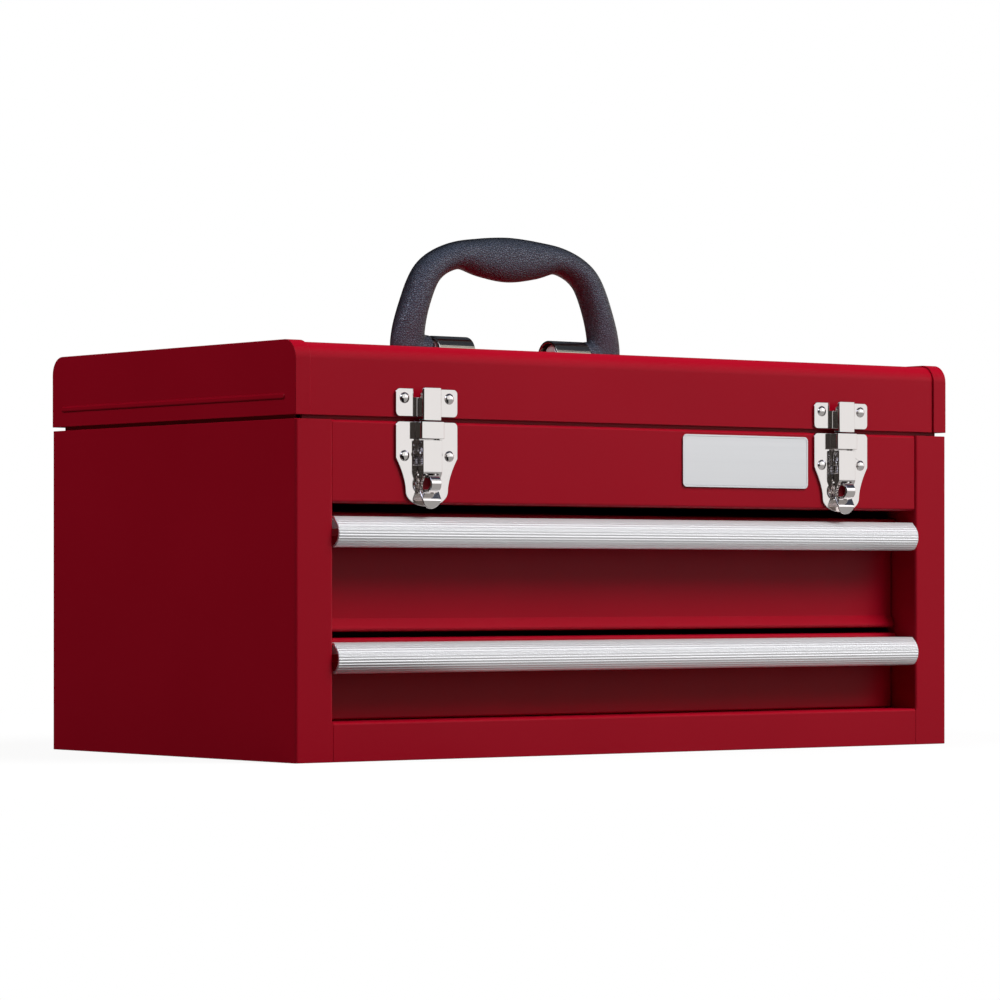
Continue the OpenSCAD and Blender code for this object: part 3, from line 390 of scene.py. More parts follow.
# %% Finish helpers
def finish(name, color, metallic, roughness, **fixed):
    """A material with its fixed values on the shader, and the shader itself."""
    material = bpy.data.materials.new(name)
    material.use_nodes = True
    shader = material.node_tree.nodes["Principled BSDF"]
    shader.inputs["Base Color"].default_value = (*color, 1)
    shader.inputs["Metallic"].default_value = metallic
    shader.inputs["Roughness"].default_value = roughness
    for label, value in fixed.items():
        shader.inputs[label.replace("_", " ")].default_value = value
    return material, shader


def place(material, group, **values):
    """Puts an effect group in a material with its own values."""
    node = material.node_tree.nodes.new("ShaderNodeGroup")
    node.node_tree = group
    for label, value in values.items():
        node.inputs[label].default_value = value
    return node


def emboss(material, shader, height, depth, strength):
    """Feeds a height to the shader's normal."""
    bump = material.node_tree.nodes.new("ShaderNodeBump")
    bump.inputs["Strength"].default_value = strength
    bump.inputs["Distance"].default_value = depth
    link(material.node_tree, height, bump.inputs["Height"])
    link(material.node_tree, bump.outputs[0], shader.inputs["Normal"])


def two_tone(material, shader, level, at_zero, at_one):
    """Base colour between two tones."""
    mix = material.node_tree.nodes.new("ShaderNodeMix")
    mix.data_type = "RGBA"
    mix.inputs["A"].default_value = (*at_zero, 1)
    mix.inputs["B"].default_value = (*at_one, 1)
    link(material.node_tree, level, mix.inputs["Factor"])
    link(material.node_tree, mix.outputs["Result"], shader.inputs["Base Color"])


def paint_rim_shade(material, shader, starts, ends, rim):
    """Painted shade: darkens the base colour where the surface turns away from the eye."""
    tree = material.node_tree
    facing = tree.nodes.new("ShaderNodeLayerWeight")
    shade_of = tree.nodes.new("ShaderNodeMapRange")
    shade_of.inputs["From Min"].default_value = starts
    shade_of.inputs["From Max"].default_value = ends
    shade_of.inputs["To Min"].default_value = 1.0
    shade_of.inputs["To Max"].default_value = rim
    link(tree, facing.outputs["Facing"], shade_of.inputs["Value"])
    dim = tree.nodes.new("ShaderNodeVectorMath")
    dim.operation = "SCALE"
    base = shader.inputs["Base Color"].links[0]
    link(tree, base.from_socket, dim.inputs[0])
    link(tree, shade_of.outputs["Result"], dim.inputs["Scale"])
    link(tree, dim.outputs[0], shader.inputs["Base Color"])


# %% Enamel
enamel, shader = finish("red_enamel", (0.36, 0.001, 0.0125), 0, 0.38, Specular_IOR_Level=0.14)
film = place(enamel, peel, Scale=420)
emboss(enamel, shader, film.outputs["Height"], 0.02 * MM, 0.5)
gloss = place(enamel, cloudy, Scale=55, Low=0.37, High=0.41)
link(enamel.node_tree, gloss.outputs["Level"], shader.inputs["Roughness"])
tone = place(enamel, cloudy, Scale=9, Low=0.0, High=1.0)
two_tone(enamel, shader, tone.outputs["Level"], (0.35, 0.0008, 0.012), (0.37, 0.0014, 0.0135))
print("enamel base", [round(v, 3) for v in shader.inputs["Base Color"].default_value[:3]])

# %% Bright metals
chrome, shader = finish("chrome_plate", (0.78, 0.745, 0.73), 1, 0.06)
smudge = place(chrome, cloudy, Scale=160, Low=0.04, High=0.11)
link(chrome.node_tree, smudge.outputs["Level"], shader.inputs["Roughness"])
ripple = place(chrome, peel, Scale=260)
emboss(chrome, shader, ripple.outputs["Height"], 0.01 * MM, 0.35)

aluminium, shader = finish("fluted_aluminium", (0.97, 0.97, 0.985), 0.6, 0.42)
streak = place(aluminium, drawn, Scale=1500, Low=0.39, High=0.45)
link(aluminium.node_tree, streak.outputs["Level"], shader.inputs["Roughness"])

zinc, shader = finish("zinc_plate", (0.56, 0.57, 0.58), 1, 0.36)
dull = place(zinc, cloudy, Scale=90, Low=0.3, High=0.46)
link(zinc.node_tree, dull.outputs["Level"], shader.inputs["Roughness"])
spangle = place(zinc, cloudy, Scale=240, Low=0.0, High=1.0)
two_tone(zinc, shader, spangle.outputs["Level"], (0.50, 0.51, 0.53), (0.62, 0.63, 0.64))

satin, shader = finish("satin_plate", (0.73, 0.735, 0.745), 1, 0.34)
brush = place(satin, drawn, Scale=1100, Low=0.28, High=0.42)
link(satin.node_tree, brush.outputs["Level"], shader.inputs["Roughness"])
emboss(satin, shader, brush.outputs["Height"], 0.02 * MM, 0.5)

bracket_metal, shader = finish("bracket_steel", (0.52, 0.48, 0.40), 1, 0.12)
oil = place(bracket_metal, cloudy, Scale=120, Low=0.08, High=0.16)
link(bracket_metal.node_tree, oil.outputs["Level"], shader.inputs["Roughness"])

# Painted reflection: the steel pins are nearly white and mostly non-metallic, so the lamps
# light their ends as white as polished steel that mirrors the room.
pin_steel_painted_reflection, shader = finish("pin_steel_painted_reflection", (0.96, 0.96, 0.97), 0.15, 0.35)
turned = place(pin_steel_painted_reflection, cloudy, Scale=300, Low=0.3, High=0.4)
link(pin_steel_painted_reflection.node_tree, turned.outputs["Level"], shader.inputs["Roughness"])
metals = (chrome, aluminium, zinc, satin, bracket_metal, pin_steel_painted_reflection)
print("metals:", [metal.name for metal in metals])

# %% Plastics
grip_skin, shader = finish("grip_plastic", (0.05, 0.07, 0.105), 0, 0.42, Specular_IOR_Level=0.95)
leather = place(grip_skin, grain, Scale=800)
emboss(grip_skin, shader, leather.outputs["Height"], 0.3 * MM, 1)
# The crease tone is partly the grain's own colour and partly painted shade in the creases.
two_tone(
    grip_skin, shader, leather.outputs["Crease"], (0.078, 0.094, 0.142), (0.020, 0.028, 0.048)
)
worn = place(grip_skin, cloudy, Scale=70, Low=0.34, High=0.44)
link(grip_skin.node_tree, worn.outputs["Level"], shader.inputs["Roughness"])
# Painted shade: the grip's colour darkens towards its outline, so its middle reads as a sheen.
paint_rim_shade(grip_skin, shader, 0.08, 0.75, 0.03)

bearing, shader = finish("bearing_plastic", (0.02, 0.021, 0.024), 0, 0.45)
haze = place(bearing, cloudy, Scale=200, Low=0.38, High=0.55)
link(bearing.node_tree, haze.outputs["Level"], shader.inputs["Roughness"])
print("plastics:", grip_skin.name, bearing.name)


# %% [markdown]
# ## Sheet metal with real edges
# A CAD edge is infinitely sharp and never catches light. On real pressed steel each edge has
# a small round, and that thin bright line is what makes it read as metal. Modelling every
# round by hand would be slow. Here each CAD mesh is copied, its loose triangles are joined
# into flat faces again, and a Bevel modifier rounds whatever is still sharp. A Weighted
# Normal modifier then lets the large faces decide the shading, so a fold doesn't bend the
# reflection on the flat sheet beside it.

# %% Dressed copies
SHARP = math.radians(32)
SAME_PLANE = math.radians(0.4)
# On a sheet with a long row of small holes a wide round would fold the face over itself. The
# modifier keeps the round narrow there.
PIERCED = ("hinge_body_leaf", "hinge_lid_leaf", "back_panel")


def clean_copy(node):
    """A CAD node's mesh with its triangles merged back into flat faces."""
    source = frame["nodes"][node].data
    mesh = bpy.data.meshes.new(node + "_dressed")
    points = [v.co[:] for v in source.vertices]
    mesh.from_pydata(points, [], [face.vertices[:] for face in source.polygons])
    shape = bmesh.new()
    shape.from_mesh(mesh)
    bmesh.ops.remove_doubles(shape, verts=shape.verts, dist=2 * TINY)
    bmesh.ops.dissolve_limit(
        shape, angle_limit=SAME_PLANE, verts=shape.verts, edges=shape.edges
    )
    shape.to_mesh(mesh)
    shape.free()
    return mesh


def shade(mesh, angle=SHARP):
    """Smooth shading with sharp edges where faces meet at a real corner."""
    mesh.polygons.foreach_set("use_smooth", [True] * len(mesh.polygons))
    mesh.set_sharp_from_angle(angle=angle)


def body_of(node):
    """The name of the CAD body a node belongs to."""
    return frame["nodes"][node]["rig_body"]


def hand_over(obj, material, slot, *nodes):
    """Gives a finished piece its material and body, and lets it stand for its CAD nodes."""
    obj.data.materials.clear()
    obj.data.materials.append(material)
    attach(obj, body_of(nodes[0]))
    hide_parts(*nodes)
    return obj


def dressed(node, material, slot, edge):
    """A copy of a CAD node with rounded edges. The edge's width is in mm."""
    mesh = clean_copy(node)
    shade(mesh)
    obj = bpy.data.objects.new(node + "_dressed", mesh)
    scene.collection.objects.link(obj)
    rounding = obj.modifiers.new("edge_round", "BEVEL")
    rounding.width = edge * MM
    rounding.segments = 2
    rounding.limit_method = "ANGLE"
    rounding.angle_limit = SHARP
    rounding.use_clamp_overlap = node in PIERCED
    flat = obj.modifiers.new("flat_faces", "WEIGHTED_NORMAL")
    flat.keep_sharp = True
    return hand_over(obj, material, slot, node)


# %% Red sheet metal
def pressed(mesh, picked, steps):
    """Shapes the flat faces across X in rings. picked is max for the outermost faces and min
    for the innermost. Each step is how far in from the rim and how far along X, in mm."""
    shape = bmesh.new()
    shape.from_mesh(mesh)
    level = picked(abs(v.co.x) for v in shape.verts)
    face = [f for f in shape.faces if all(abs(abs(v.co.x) - level) < TINY for v in f.verts)]
    for inset, lift in steps:
        if inset:
            bmesh.ops.inset_region(shape, faces=face, thickness=inset * MM)
        for v in {v for f in face for v in f.verts}:
            v.co.x += math.copysign(1, v.co.x) * lift * MM
    shape.to_mesh(mesh)
    shape.free()
    shade(mesh)


# A lid cap's outer face is sunk a little at its rim and lifted again in two small steps
BEAD_STEPS = ((0, -0.38), (0.45, 0.24), (0.45, 0.14))
RED_SHEETS = [
    "left_side_panel", "right_side_panel", "back_panel", "bottom_panel", "front_bottom_rail",
    "front_top_rail", "top_compartment", "lid_shell", "lid_left_cap", "lid_right_cap",
    "upper_drawer_tray", "lower_drawer_tray", "upper_drawer_front", "lower_drawer_front",
    "hinge_body_leaf", "hinge_lid_leaf",
]
for node in RED_SHEETS:
    piece = dressed(node, enamel, "red_enamel", 0.25)
    if node.endswith("_cap"):
        pressed(piece.data, max, BEAD_STEPS)
    print(node, len(piece.data.polygons), "faces before rounding")

# %% Runners and pins
for node in ("left_upper_runner", "right_upper_runner", "left_lower_runner", "right_lower_runner"):
    dressed(node, zinc, "zinc_steel", 0.2)
dressed("hinge_pin", zinc, "zinc_steel", 0.2)
print("zinc pieces: four runners and the hinge pin")

# %% Latches and handle metal
# Each part's finish and the width of its round. A handle pin's inner end is domed in rings.
PIN_STEPS = ((0.5, -0.9), (0.9, -0.6), (1.2, -0.4), (1.4, -0.2))
BRIGHT_PARTS = {
    "keeper": (chrome, 0.2), "latch_base": (chrome, 0.2), "staple": (chrome, 0.2),
    "lever": (chrome, 0.2), "lever_pin": (chrome, 0.12),
    "claw": (chrome, 0.2), "claw_pin": (chrome, 0.12),
    "handle_bracket": (bracket_metal, 0.35), "handle_pin": (pin_steel_painted_reflection, 0.12),
}
for side in ("left", "right"):
    for part, (metal, edge) in BRIGHT_PARTS.items():
        piece = dressed(side + "_" + part, metal, "chrome", edge)
        if part == "handle_pin":
            pressed(piece.data, min, PIN_STEPS)
for node in ("left_handle_bearing", "right_handle_bearing"):
    dressed(node, bearing, "bearing_plastic", 0.3)
print("bright pieces:", 2 * len(BRIGHT_PARTS))

# %% [markdown]
# ## Fluted pulls
# The pull is an aluminium extrusion: one section, cut to length. Its bulging face has fine
# flutes along it. An image bump could fake them, but at the cut ends the real flutes show in
# the outline. So the section is drawn with its flutes as points, then pushed along X, and
# the cut ends get a small round.

# %% Fluted pulls
PULL_HALF = 205.0
PULL_FACE = 14.2
PULL_LIP = 2.8
PULL_FLANGE = 6.2
FLUTES = 11
FLUTE_DEPTH = 0.28
STEPS_PER_FLUTE = 8
INNER_STEPS = 16


def pull_outline(top):
    """The pull's section as (Y, Z) points in mm, flutes included."""
    edge, back, wall, chamfer, bulge = -120.95, -104.95, 1.2, 1.5, 3.7
    high, low = top - chamfer, top - chamfer - PULL_FACE
    reach = (high - low) / 2
    radius = (reach ** 2 + bulge ** 2) / (2 * bulge)
    half = math.asin(reach / radius)
    cy, cz = edge - bulge + radius, (high + low) / 2
    steps = FLUTES * STEPS_PER_FLUTE
    # Narrow grooves between broad ridges, which fade out at both edges of the face
    face = []
    for k in range(steps + 1):
        w = half - 2 * half * k / steps
        groove = 1 - (1 - abs(math.cos(math.pi * FLUTES * k / steps))) ** 0.6
        fades_out = math.sin(math.pi * k / steps) ** 0.3
        r = radius - FLUTE_DEPTH * groove * fades_out
        face.append((cy - r * math.cos(w), cz + r * math.sin(w)))
    inner = []
    for k in range(INNER_STEPS + 1):
        w = -half + 2 * half * k / INNER_STEPS
        r = radius - wall
        inner.append((cy - r * math.cos(w), cz + r * math.sin(w)))
    return (
        [(back, top), (edge + chamfer, top)] + face
        + [(edge + PULL_LIP, low - wall / 2), (edge + PULL_LIP, low + wall / 2)] + inner
        + [(edge + chamfer + wall / 2, top - wall), (back - wall, top - wall),
           (back - wall, top - PULL_FLANGE), (back, top - PULL_FLANGE)]
    )


def fluted_pull(name, top, node):
    """The section pushed along X between the drawer front's ends."""
    shape = bmesh.new()
    ring = [shape.verts.new((-PULL_HALF * MM, y * MM, z * MM)) for y, z in pull_outline(top)]
    cap = shape.faces.new(ring)
    grown = bmesh.ops.extrude_face_region(shape, geom=[cap])
    far = [v for v in grown["geom"] if isinstance(v, bmesh.types.BMVert)]
    bmesh.ops.translate(shape, verts=far, vec=(2 * PULL_HALF * MM, 0, 0))
    bmesh.ops.recalc_face_normals(shape, faces=shape.faces)
    mesh = bpy.data.meshes.new(name)
    shape.to_mesh(mesh)
    shape.free()
    shade(mesh, math.radians(50))
    obj = bpy.data.objects.new(name, mesh)
    scene.collection.objects.link(obj)
    rim = obj.modifiers.new("cut_rim", "BEVEL")
    rim.width, rim.segments, rim.limit_method = 0.25 * MM, 2, "ANGLE"
    rim.angle_limit = math.radians(80)
    rim.use_clamp_overlap = False
    return hand_over(obj, aluminium, "pull_aluminium", node)


for level, top_edge in (("upper", 128.7), ("lower", 62.4)):
    pull = fluted_pull(level + "_pull_fluted", top_edge, level + "_drawer_pull")
    print(pull.name, len(pull.data.polygons), "faces,", FLUTES, "flutes")

# %% [markdown]
# ## Grip
# The grip is moulded in one piece: a fat middle for the palm, two legs that spread down, and
# an elbow at each foot that turns in to the bracket. Lofting rings along a smooth line gives
# the middle and legs. The elbows are separate rods at first. A voxel remesh then melts all
# of it into one skin, the way a mould would, and a few smoothing passes take the steps out.

# %% Grip
PIVOT_Z = 226.0
RISE = 52.9
FOOT_X = 70.6
# Stations from the middle to a foot: across, above the pivot, half width, half thickness
GRIP_LINE = [
    (0.0, RISE, 12.9, 9.5),
    (FOOT_X * 0.26, RISE + 0.6, 11.2, 9.5),
    (FOOT_X * 0.48, RISE + 1.4, 8.2, 9.2),
    (FOOT_X * 0.66, RISE - 2.3, 7.7, 9.0),
    (FOOT_X * 0.79, RISE - 8.5, 8.0, 8.7),
    (FOOT_X * 0.87, RISE - 16.9, 8.3, 8.6),
    (FOOT_X * 0.942, RISE * 0.44, 8.7, 8.4),
    (FOOT_X * 0.986, RISE * 0.23, 9.9, 7.4),
    (FOOT_X, 4.0, 11.0, 6.3),
    (FOOT_X, 0.0, 10.9, 5.9),
    (FOOT_X, -3.6, 8.6, 4.6),
]


def through(a, b, c, d, t):
    """A point on the smooth curve between b and c."""
    return tuple(
        0.5 * (2 * q + (r - p) * t + (2 * p - 5 * q + 4 * r - s) * t * t
               + (3 * q - p - 3 * r + s) * t ** 3)
        for p, q, r, s in zip(a, b, c, d)
    )


def grip_stations(fine=6):
    """The whole line from the left foot to the right one, with fine steps per station."""
    line = [(-p[0], *p[1:]) for p in GRIP_LINE[:0:-1]] + GRIP_LINE
    ends = [tuple(2 * a - b for a, b in zip(line[0], line[1]))]
    tail = [tuple(2 * a - b for a, b in zip(line[-1], line[-2]))]
    whole = ends + line + tail
    out = []
    for i in range(1, len(whole) - 2):
        out += [through(*whole[i - 1:i + 3], k / fine) for k in range(fine)]
    return out + [line[-1]]


def ring_loft(shape, rings):
    """Joins rings of points with quads and closes both ends."""
    made = [[shape.verts.new(Vector(p) * MM) for p in ring] for ring in rings]
    count = len(made[0])
    for a, b in zip(made, made[1:]):
        for k in range(count):
            shape.faces.new((a[k], a[(k + 1) % count], b[(k + 1) % count], b[k]))
    shape.faces.new(made[0][::-1])
    shape.faces.new(made[-1])


SQUARENESS = 0.92


def squared(value):
    """Pushes a sine or cosine outward, so a circle turns slightly square."""
    return math.copysign(abs(value) ** SQUARENESS, value)


def grip_rings(sides=36):
    """Rings across the grip's line. Each is a slightly squared ellipse."""
    line = grip_stations()
    rings = []
    for i, (x, z, wide, thick) in enumerate(line):
        before, after = line[max(i - 1, 0)], line[min(i + 1, len(line) - 1)]
        ahead = Vector((after[0] - before[0], after[1] - before[1])).normalized()
        ring = []
        for k in range(sides):
            w = 2 * math.pi * k / sides
            c, s = squared(math.cos(w)), squared(math.sin(w))
            ring.append((x - ahead[1] * wide * c, thick * s, PIVOT_Z + z + ahead[0] * wide * c))
        rings.append(ring)
    return rings


# The elbow's radius, its height above the pivot, and its stations: across, and how much fatter
ELBOW_RADIUS, ELBOW_TOP = 5.9, 8.0
ELBOW_LINE = ((55.1, -1.0), (56.1, -0.1), (57.5, 0.0), (66.0, 0.0), (71.0, -0.6), (75.7, -2.4))


def elbow_rings(side, sides=32):
    """Rings of the short rod from the bracket to the leg, as high as the bracket."""
    rings = []
    for x, grow in ELBOW_LINE:
        wide, high = ELBOW_RADIUS + grow, ELBOW_TOP + grow
        ring = []
        for k in range(sides):
            w = 2 * math.pi * k / sides * side
            tall = high if math.sin(w) > 0 else wide
            ring.append((side * x, wide * math.cos(w), PIVOT_Z + tall * math.sin(w)))
        rings.append(ring)
    return rings


shape = bmesh.new()
ring_loft(shape, grip_rings())
for side in (-1, 1):
    ring_loft(shape, elbow_rings(side))
bmesh.ops.recalc_face_normals(shape, faces=shape.faces)
grip_mesh = bpy.data.meshes.new("carry_grip")
shape.to_mesh(grip_mesh)
shape.free()
grip = bpy.data.objects.new("carry_grip", grip_mesh)
scene.collection.objects.link(grip)
melt = grip.modifiers.new("melt", "REMESH")
melt.mode = "VOXEL"
melt.voxel_size = 0.7 * MM
calm = grip.modifiers.new("calm", "SMOOTH")
calm.factor, calm.iterations = 0.5, 8
depsgraph = bpy.context.evaluated_depsgraph_get()
moulded = bpy.data.meshes.new_from_object(grip.evaluated_get(depsgraph))
grip.modifiers.clear()
grip.data = moulded
shade(moulded, math.radians(80))
hand_over(grip, grip_skin, "grip_plastic", "handle_grip")
print("grip:", len(moulded.polygons), "faces")

# %% [markdown]
# ## Rivets
# Identical fasteners are the classic case for Geometry Nodes. The tree takes loose points,
# puts a domed head on each and turns it to face along a given direction. The head is a grid
# whose rows become rings, from the flat underside over the rim to the crown. The same tree
# makes latch rivets, bracket rivets, hinge rivets and the screws behind the pulls. It runs
# twice for each kind, because a lower head closes every rivet on the inside of the sheet.

# %% Rivet tree
def node_at(tree, kind, **settings):
    """A node with some of its properties set."""
    node = tree.nodes.new(kind)
    for label, value in settings.items():
        setattr(node, label, value)
    return node


def geometry_tree(name, inputs):
    """An empty geometry tree with named inputs, and its two end nodes."""
    tree = bpy.data.node_groups.new(name, "GeometryNodeTree")
    tree.interface.new_socket("Points", in_out="INPUT", socket_type="NodeSocketGeometry")
    for label, (kind, value) in inputs.items():
        socket = tree.interface.new_socket(label, in_out="INPUT", socket_type="NodeSocket" + kind)
        if value is not None:
            socket.default_value = value
    tree.interface.new_socket("Geometry", in_out="OUTPUT", socket_type="NodeSocketGeometry")
    return tree, tree.nodes.new("NodeGroupInput"), tree.nodes.new("NodeGroupOutput")


RINGS = 9
AROUND = 25
rivet_tree, given, made = geometry_tree("domed_heads", {
    "Head Radius": ("Float", 0.003), "Head Rise": ("Float", 0.0015),
    "Facing": ("Vector", (0, -1, 0)), "Metal": ("Material", None),
})
sheet_grid = node_at(rivet_tree, "GeometryNodeMeshGrid")
grid_values = {"Size X": 1, "Size Y": 1, "Vertices X": RINGS, "Vertices Y": AROUND}
for label, value in grid_values.items():
    sheet_grid.inputs[label].default_value = value
place_of = node_at(rivet_tree, "GeometryNodeInputPosition")
split = node_at(rivet_tree, "ShaderNodeSeparateXYZ")
link(rivet_tree, place_of.outputs[0], split.inputs[0])


def rivet_sum(operation, *values):
    """A Math node in the rivet tree. Its inputs are sockets or numbers."""
    node = node_at(rivet_tree, "ShaderNodeMath", operation=operation)
    for i, value in enumerate(values):
        if isinstance(value, (int, float)):
            node.inputs[i].default_value = value
        else:
            link(rivet_tree, value, node.inputs[i])
    return node.outputs[0]


# Row 0 of the grid is the middle of the underside, row 1 the rim, and the last row the crown
ring_no = rivet_sum("MULTIPLY", rivet_sum("ADD", split.outputs[0], 0.5), RINGS - 1)
above_rim = rivet_sum("MAXIMUM", rivet_sum("SUBTRACT", ring_no, 1.0), 0.0)
climb = rivet_sum("MULTIPLY", above_rim, math.pi / 2 / (RINGS - 2))
inside = rivet_sum("MINIMUM", ring_no, 1.0)
reach = rivet_sum("MULTIPLY", rivet_sum("COSINE", climb), inside)
radius = rivet_sum("MULTIPLY", reach, given.outputs["Head Radius"])
height = rivet_sum("MULTIPLY", rivet_sum("SINE", climb), given.outputs["Head Rise"])
angle = rivet_sum("MULTIPLY", split.outputs[1], 2 * math.pi)
turned = node_at(rivet_tree, "ShaderNodeCombineXYZ")
for axis, way in enumerate(("COSINE", "SINE")):
    link(rivet_tree, rivet_sum("MULTIPLY", radius, rivet_sum(way, angle)), turned.inputs[axis])
link(rivet_tree, height, turned.inputs[2])
bent = node_at(rivet_tree, "GeometryNodeSetPosition")
link(rivet_tree, sheet_grid.outputs["Mesh"], bent.inputs["Geometry"])
link(rivet_tree, turned.outputs[0], bent.inputs["Position"])
closed = node_at(rivet_tree, "GeometryNodeMergeByDistance")
closed.inputs["Distance"].default_value = TINY
link(rivet_tree, bent.outputs[0], closed.inputs["Geometry"])
smooth = node_at(rivet_tree, "GeometryNodeSetShadeSmooth")
link(rivet_tree, closed.outputs[0], smooth.inputs["Geometry"])
aim = node_at(rivet_tree, "FunctionNodeAlignRotationToVector", axis="Z")
link(rivet_tree, given.outputs["Facing"], aim.inputs["Vector"])
spread = node_at(rivet_tree, "GeometryNodeInstanceOnPoints")
link(rivet_tree, given.outputs["Points"], spread.inputs["Points"])
link(rivet_tree, smooth.outputs[0], spread.inputs["Instance"])
link(rivet_tree, aim.outputs[0], spread.inputs["Rotation"])
real = node_at(rivet_tree, "GeometryNodeRealizeInstances")
link(rivet_tree, spread.outputs[0], real.inputs[0])
coat = node_at(rivet_tree, "GeometryNodeSetMaterial")
link(rivet_tree, real.outputs[0], coat.inputs["Geometry"])
link(rivet_tree, given.outputs["Metal"], coat.inputs["Material"])
link(rivet_tree, coat.outputs[0], made.inputs["Geometry"])
print("rivet tree has", len(rivet_tree.nodes), "nodes")


# %% Place the rivets
def baked(tree, points, values):
    """Runs a geometry tree on points in mm and returns the mesh it makes."""
    mesh = bpy.data.meshes.new(tree.name + "_points")
    mesh.from_pydata([Vector(p) * MM for p in points], [], [])
    obj = bpy.data.objects.new(tree.name, mesh)
    scene.collection.objects.link(obj)
    maker = obj.modifiers.new("maker", "NODES")
    maker.node_group = tree
    for socket in tree.interface.items_tree:
        if socket.in_out == "INPUT" and socket.name in values:
            maker[socket.identifier] = values[socket.name]
    depsgraph = bpy.context.evaluated_depsgraph_get()
    result = bpy.data.meshes.new_from_object(obj.evaluated_get(depsgraph))
    bpy.data.objects.remove(obj)
    return result


def grown(name, metal, slot, node, *meshes):
    """Joins baked meshes into the one piece that stands for a CAD node."""
    shape = bmesh.new()
    for mesh in meshes:
        shape.from_mesh(mesh)
    whole = bpy.data.meshes.new(name)
    shape.to_mesh(whole)
    shape.free()
    obj = bpy.data.objects.new(name, whole)
    scene.collection.objects.link(obj)
    print(name, len(whole.polygons), "faces")
    hand_over(obj, metal, slot, node)


def middle_of(node):
    """The middle of a CAD node's box in mm."""
    low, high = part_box(node)
    return [(a + b) / 2 / MM for a, b in zip(low, high)]


def heads(name, node, spots, kind):
    """Domed heads for a CAD node's rivets, and the low heads that close them behind the sheet."""
    head, facing, held, tail, metal, slot = kind
    behind = [[a - f * held for a, f in zip(spot, facing)] for spot in spots]
    away = [-f for f in facing]
    ends = []
    for places, (radius, rise), way in ((spots, head, facing), (behind, tail, away)):
        ends.append(baked(rivet_tree, places, {
            "Head Radius": radius * MM, "Head Rise": rise * MM, "Facing": way, "Metal": metal,
        }))
    grown(name, metal, slot, node, *ends)


FORWARD, BACKWARD, UPWARD = (0, -1, 0), (0, 1, 0), (0, 0, 1)
# Each kind of rivet or screw: its head's radius and rise, the way it faces, the thickness it
# holds together, its inner head's radius and rise, and its finish
LATCH_RIVET = ((3.0, 1.5), FORWARD, 2.2, (2.2, 0.9), chrome, "chrome")
BRACKET_RIVET = ((2.8, 1.5), UPWARD, 2.5, (2.2, 0.9), chrome, "chrome")
HINGE_RIVET = ((2.2, 1.0), BACKWARD, 2.0, (1.9, 0.8), enamel, "red_enamel")
PULL_SCREW = ((2.4, 1.6), FORWARD, 2.2, (2.1, 1.2), zinc, "zinc_steel")

# The surfaces that the heads sit on, and where their rows stand along X
PLATE_Y, FOOT_Z, LEAF_Y, SCREW_Y = -120.95, 221.2, 120.75, -106.15
LATCH_X = [middle_of(side + "_keeper")[0] for side in ("left", "right")]
LATCH_SPREAD = 14.7
FOOT_PLACE, FOOT_SPREAD = 42.0, 14.1
HINGE_ROW = [(k / 6 - 0.5) * 398 for k in range(7)]
SCREW_ROW = (-150, 0, 150)

for node in ("keeper_rivets", "latch_base_rivets"):
    z = middle_of(node)[2]
    spots = [(x + d * LATCH_SPREAD, PLATE_Y, z) for x in LATCH_X for d in (-1, 1)]
    heads(node + "_heads", node, spots, LATCH_RIVET)
feet = [(s * FOOT_PLACE, d * FOOT_SPREAD, FOOT_Z) for s in (-1, 1) for d in (-1, 1)]
heads("bracket_rivet_heads", "bracket_rivets", feet, BRACKET_RIVET)
for node in ("hinge_body_rivets", "hinge_lid_rivets"):
    spots = [(x, LEAF_Y, middle_of(node)[2]) for x in HINGE_ROW]
    heads(node + "_heads", node, spots, HINGE_RIVET)
for node in ("upper_pull_screws", "lower_pull_screws"):
    spots = [(x, SCREW_Y, middle_of(node)[2]) for x in SCREW_ROW]
    heads(node + "_heads", node, spots, PULL_SCREW)

# %% [markdown]
# ## Latch springs
# Four small compression springs stand in each lever, two below the claw's pin and two above
# it. In the CAD they are plain tubes. A real one is wound wire, so a Geometry Nodes tree
# sweeps a small circle along a helix. Each spring starts from one point, the middle of its
# lower end. The long and the short pair run through the same tree with their own values.

# %% Spring tree
spring_tree, given, made = geometry_tree("wound_springs", {
    "Turns": ("Float", 4.5), "Coil Radius": ("Float", 0.0016), "Wire Radius": ("Float", 0.0003),
    "Length": ("Float", 0.004), "Metal": ("Material", None),
})
coil = node_at(spring_tree, "GeometryNodeCurveSpiral")
coil.inputs["Resolution"].default_value = 24
link(spring_tree, given.outputs["Turns"], coil.inputs["Rotations"])
link(spring_tree, given.outputs["Coil Radius"], coil.inputs["Start Radius"])
link(spring_tree, given.outputs["Coil Radius"], coil.inputs["End Radius"])
link(spring_tree, given.outputs["Length"], coil.inputs["Height"])
wire = node_at(spring_tree, "GeometryNodeCurvePrimitiveCircle")
wire.inputs["Resolution"].default_value = 10
link(spring_tree, given.outputs["Wire Radius"], wire.inputs["Radius"])
swept = node_at(spring_tree, "GeometryNodeCurveToMesh")
swept.inputs["Fill Caps"].default_value = True
link(spring_tree, coil.outputs[0], swept.inputs["Curve"])
link(spring_tree, wire.outputs[0], swept.inputs["Profile Curve"])
round_off = node_at(spring_tree, "GeometryNodeSetShadeSmooth")
link(spring_tree, swept.outputs[0], round_off.inputs["Geometry"])
stand = node_at(spring_tree, "GeometryNodeInstanceOnPoints")
link(spring_tree, given.outputs["Points"], stand.inputs["Points"])
link(spring_tree, round_off.outputs[0], stand.inputs["Instance"])
real = node_at(spring_tree, "GeometryNodeRealizeInstances")
link(spring_tree, stand.outputs[0], real.inputs[0])
coat = node_at(spring_tree, "GeometryNodeSetMaterial")
link(spring_tree, real.outputs[0], coat.inputs["Geometry"])
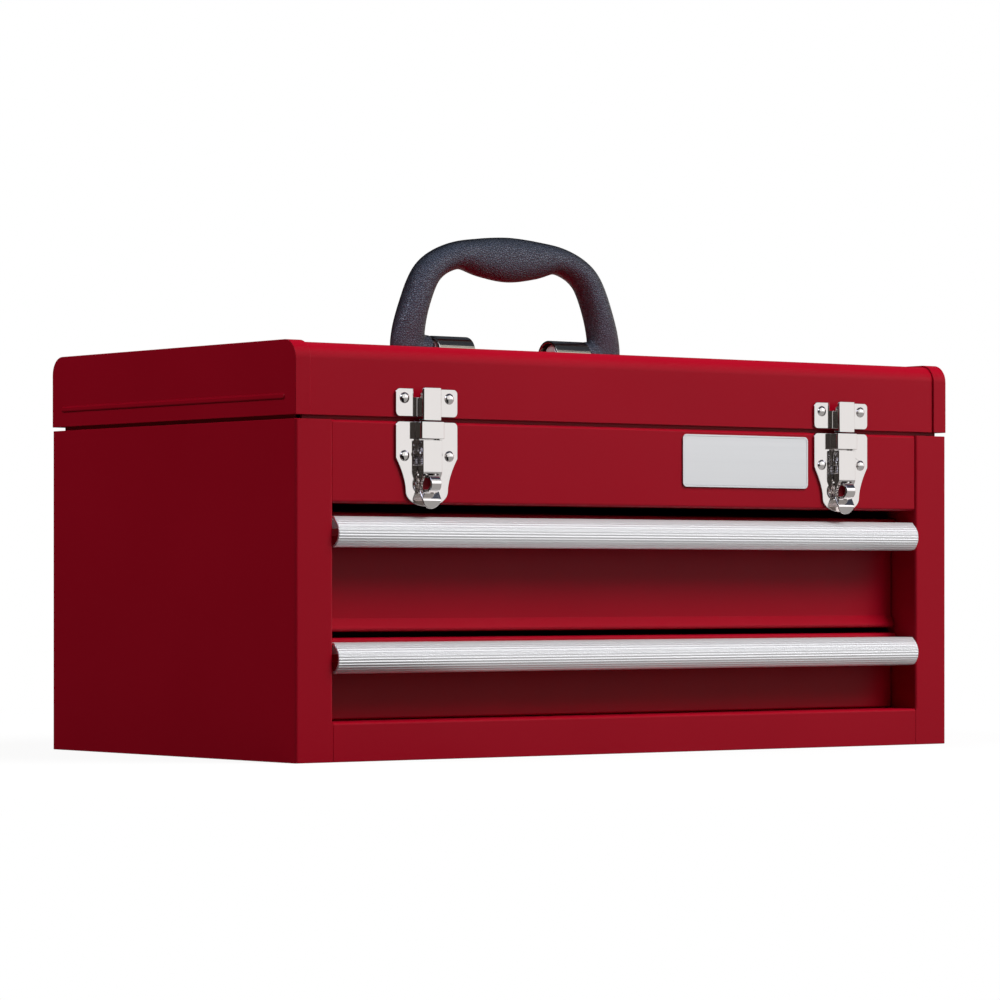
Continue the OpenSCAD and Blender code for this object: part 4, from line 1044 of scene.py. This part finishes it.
link(spring_tree, given.outputs["Metal"], coat.inputs["Material"])
link(spring_tree, coat.outputs[0], made.inputs["Geometry"])
print("spring tree has", len(spring_tree.nodes), "nodes")

# %% Wind the springs
WIRE, SPRING_RADIUS = 0.34, 1.95
SPRING_SPREAD, SPRING_Y = 4.2, -123.35
# The long pair and the short pair: lower end, upper end and turns
SPRING_PAIRS = ((156.3, 161.15, 4.5), (162.85, 165.4, 2.5))
for side, x in zip(("left", "right"), LATCH_X):
    pairs = []
    for low_z, high_z, turns in SPRING_PAIRS:
        spots = [(x + d * SPRING_SPREAD, SPRING_Y, low_z + WIRE) for d in (-1, 1)]
        pairs.append(baked(spring_tree, spots, {
            "Turns": turns, "Coil Radius": (SPRING_RADIUS - WIRE) * MM,
            "Wire Radius": WIRE * MM, "Length": (high_z - low_z - 2 * WIRE) * MM,
            "Metal": chrome,
        }))
    grown(side + "_wound_springs", chrome, "chrome", side + "_latch_springs", *pairs)


# %% [markdown]
# ## Name plate
# A thin satin plate is glued beside the right latch. It stays blank. What makes a blank
# plate look finished is its rim: a narrow border stands just above the brushed field, in
# the same satin finish. The border is what two insets of the front face leave, the second
# one sunk a little.

# %% Name plate
BORDER, STEP, SUNK = 0.9, 0.18, 0.14
low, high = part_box("name_plate")
mesh = clean_copy("name_plate")
shape = bmesh.new()
shape.from_mesh(mesh)
shape.normal_update()
front_face = min(shape.faces, key=lambda f: f.normal.y * f.calc_area())
bmesh.ops.inset_region(shape, faces=[front_face], thickness=BORDER * MM, depth=0.0)
bmesh.ops.inset_region(shape, faces=[front_face], thickness=STEP * MM, depth=-SUNK * MM)
shape.to_mesh(mesh)
shape.free()
shade(mesh)
plate = bpy.data.objects.new("blank_name_plate", mesh)
scene.collection.objects.link(plate)
rounding = plate.modifiers.new("edge_round", "BEVEL")
rounding.width, rounding.segments, rounding.limit_method = 0.06 * MM, 2, "ANGLE"
rounding.harden_normals = True
hand_over(plate, satin, "plate_metal", "name_plate")
print("plate is", [round((b - a) / MM, 1) for a, b in zip(low, high)], "mm")
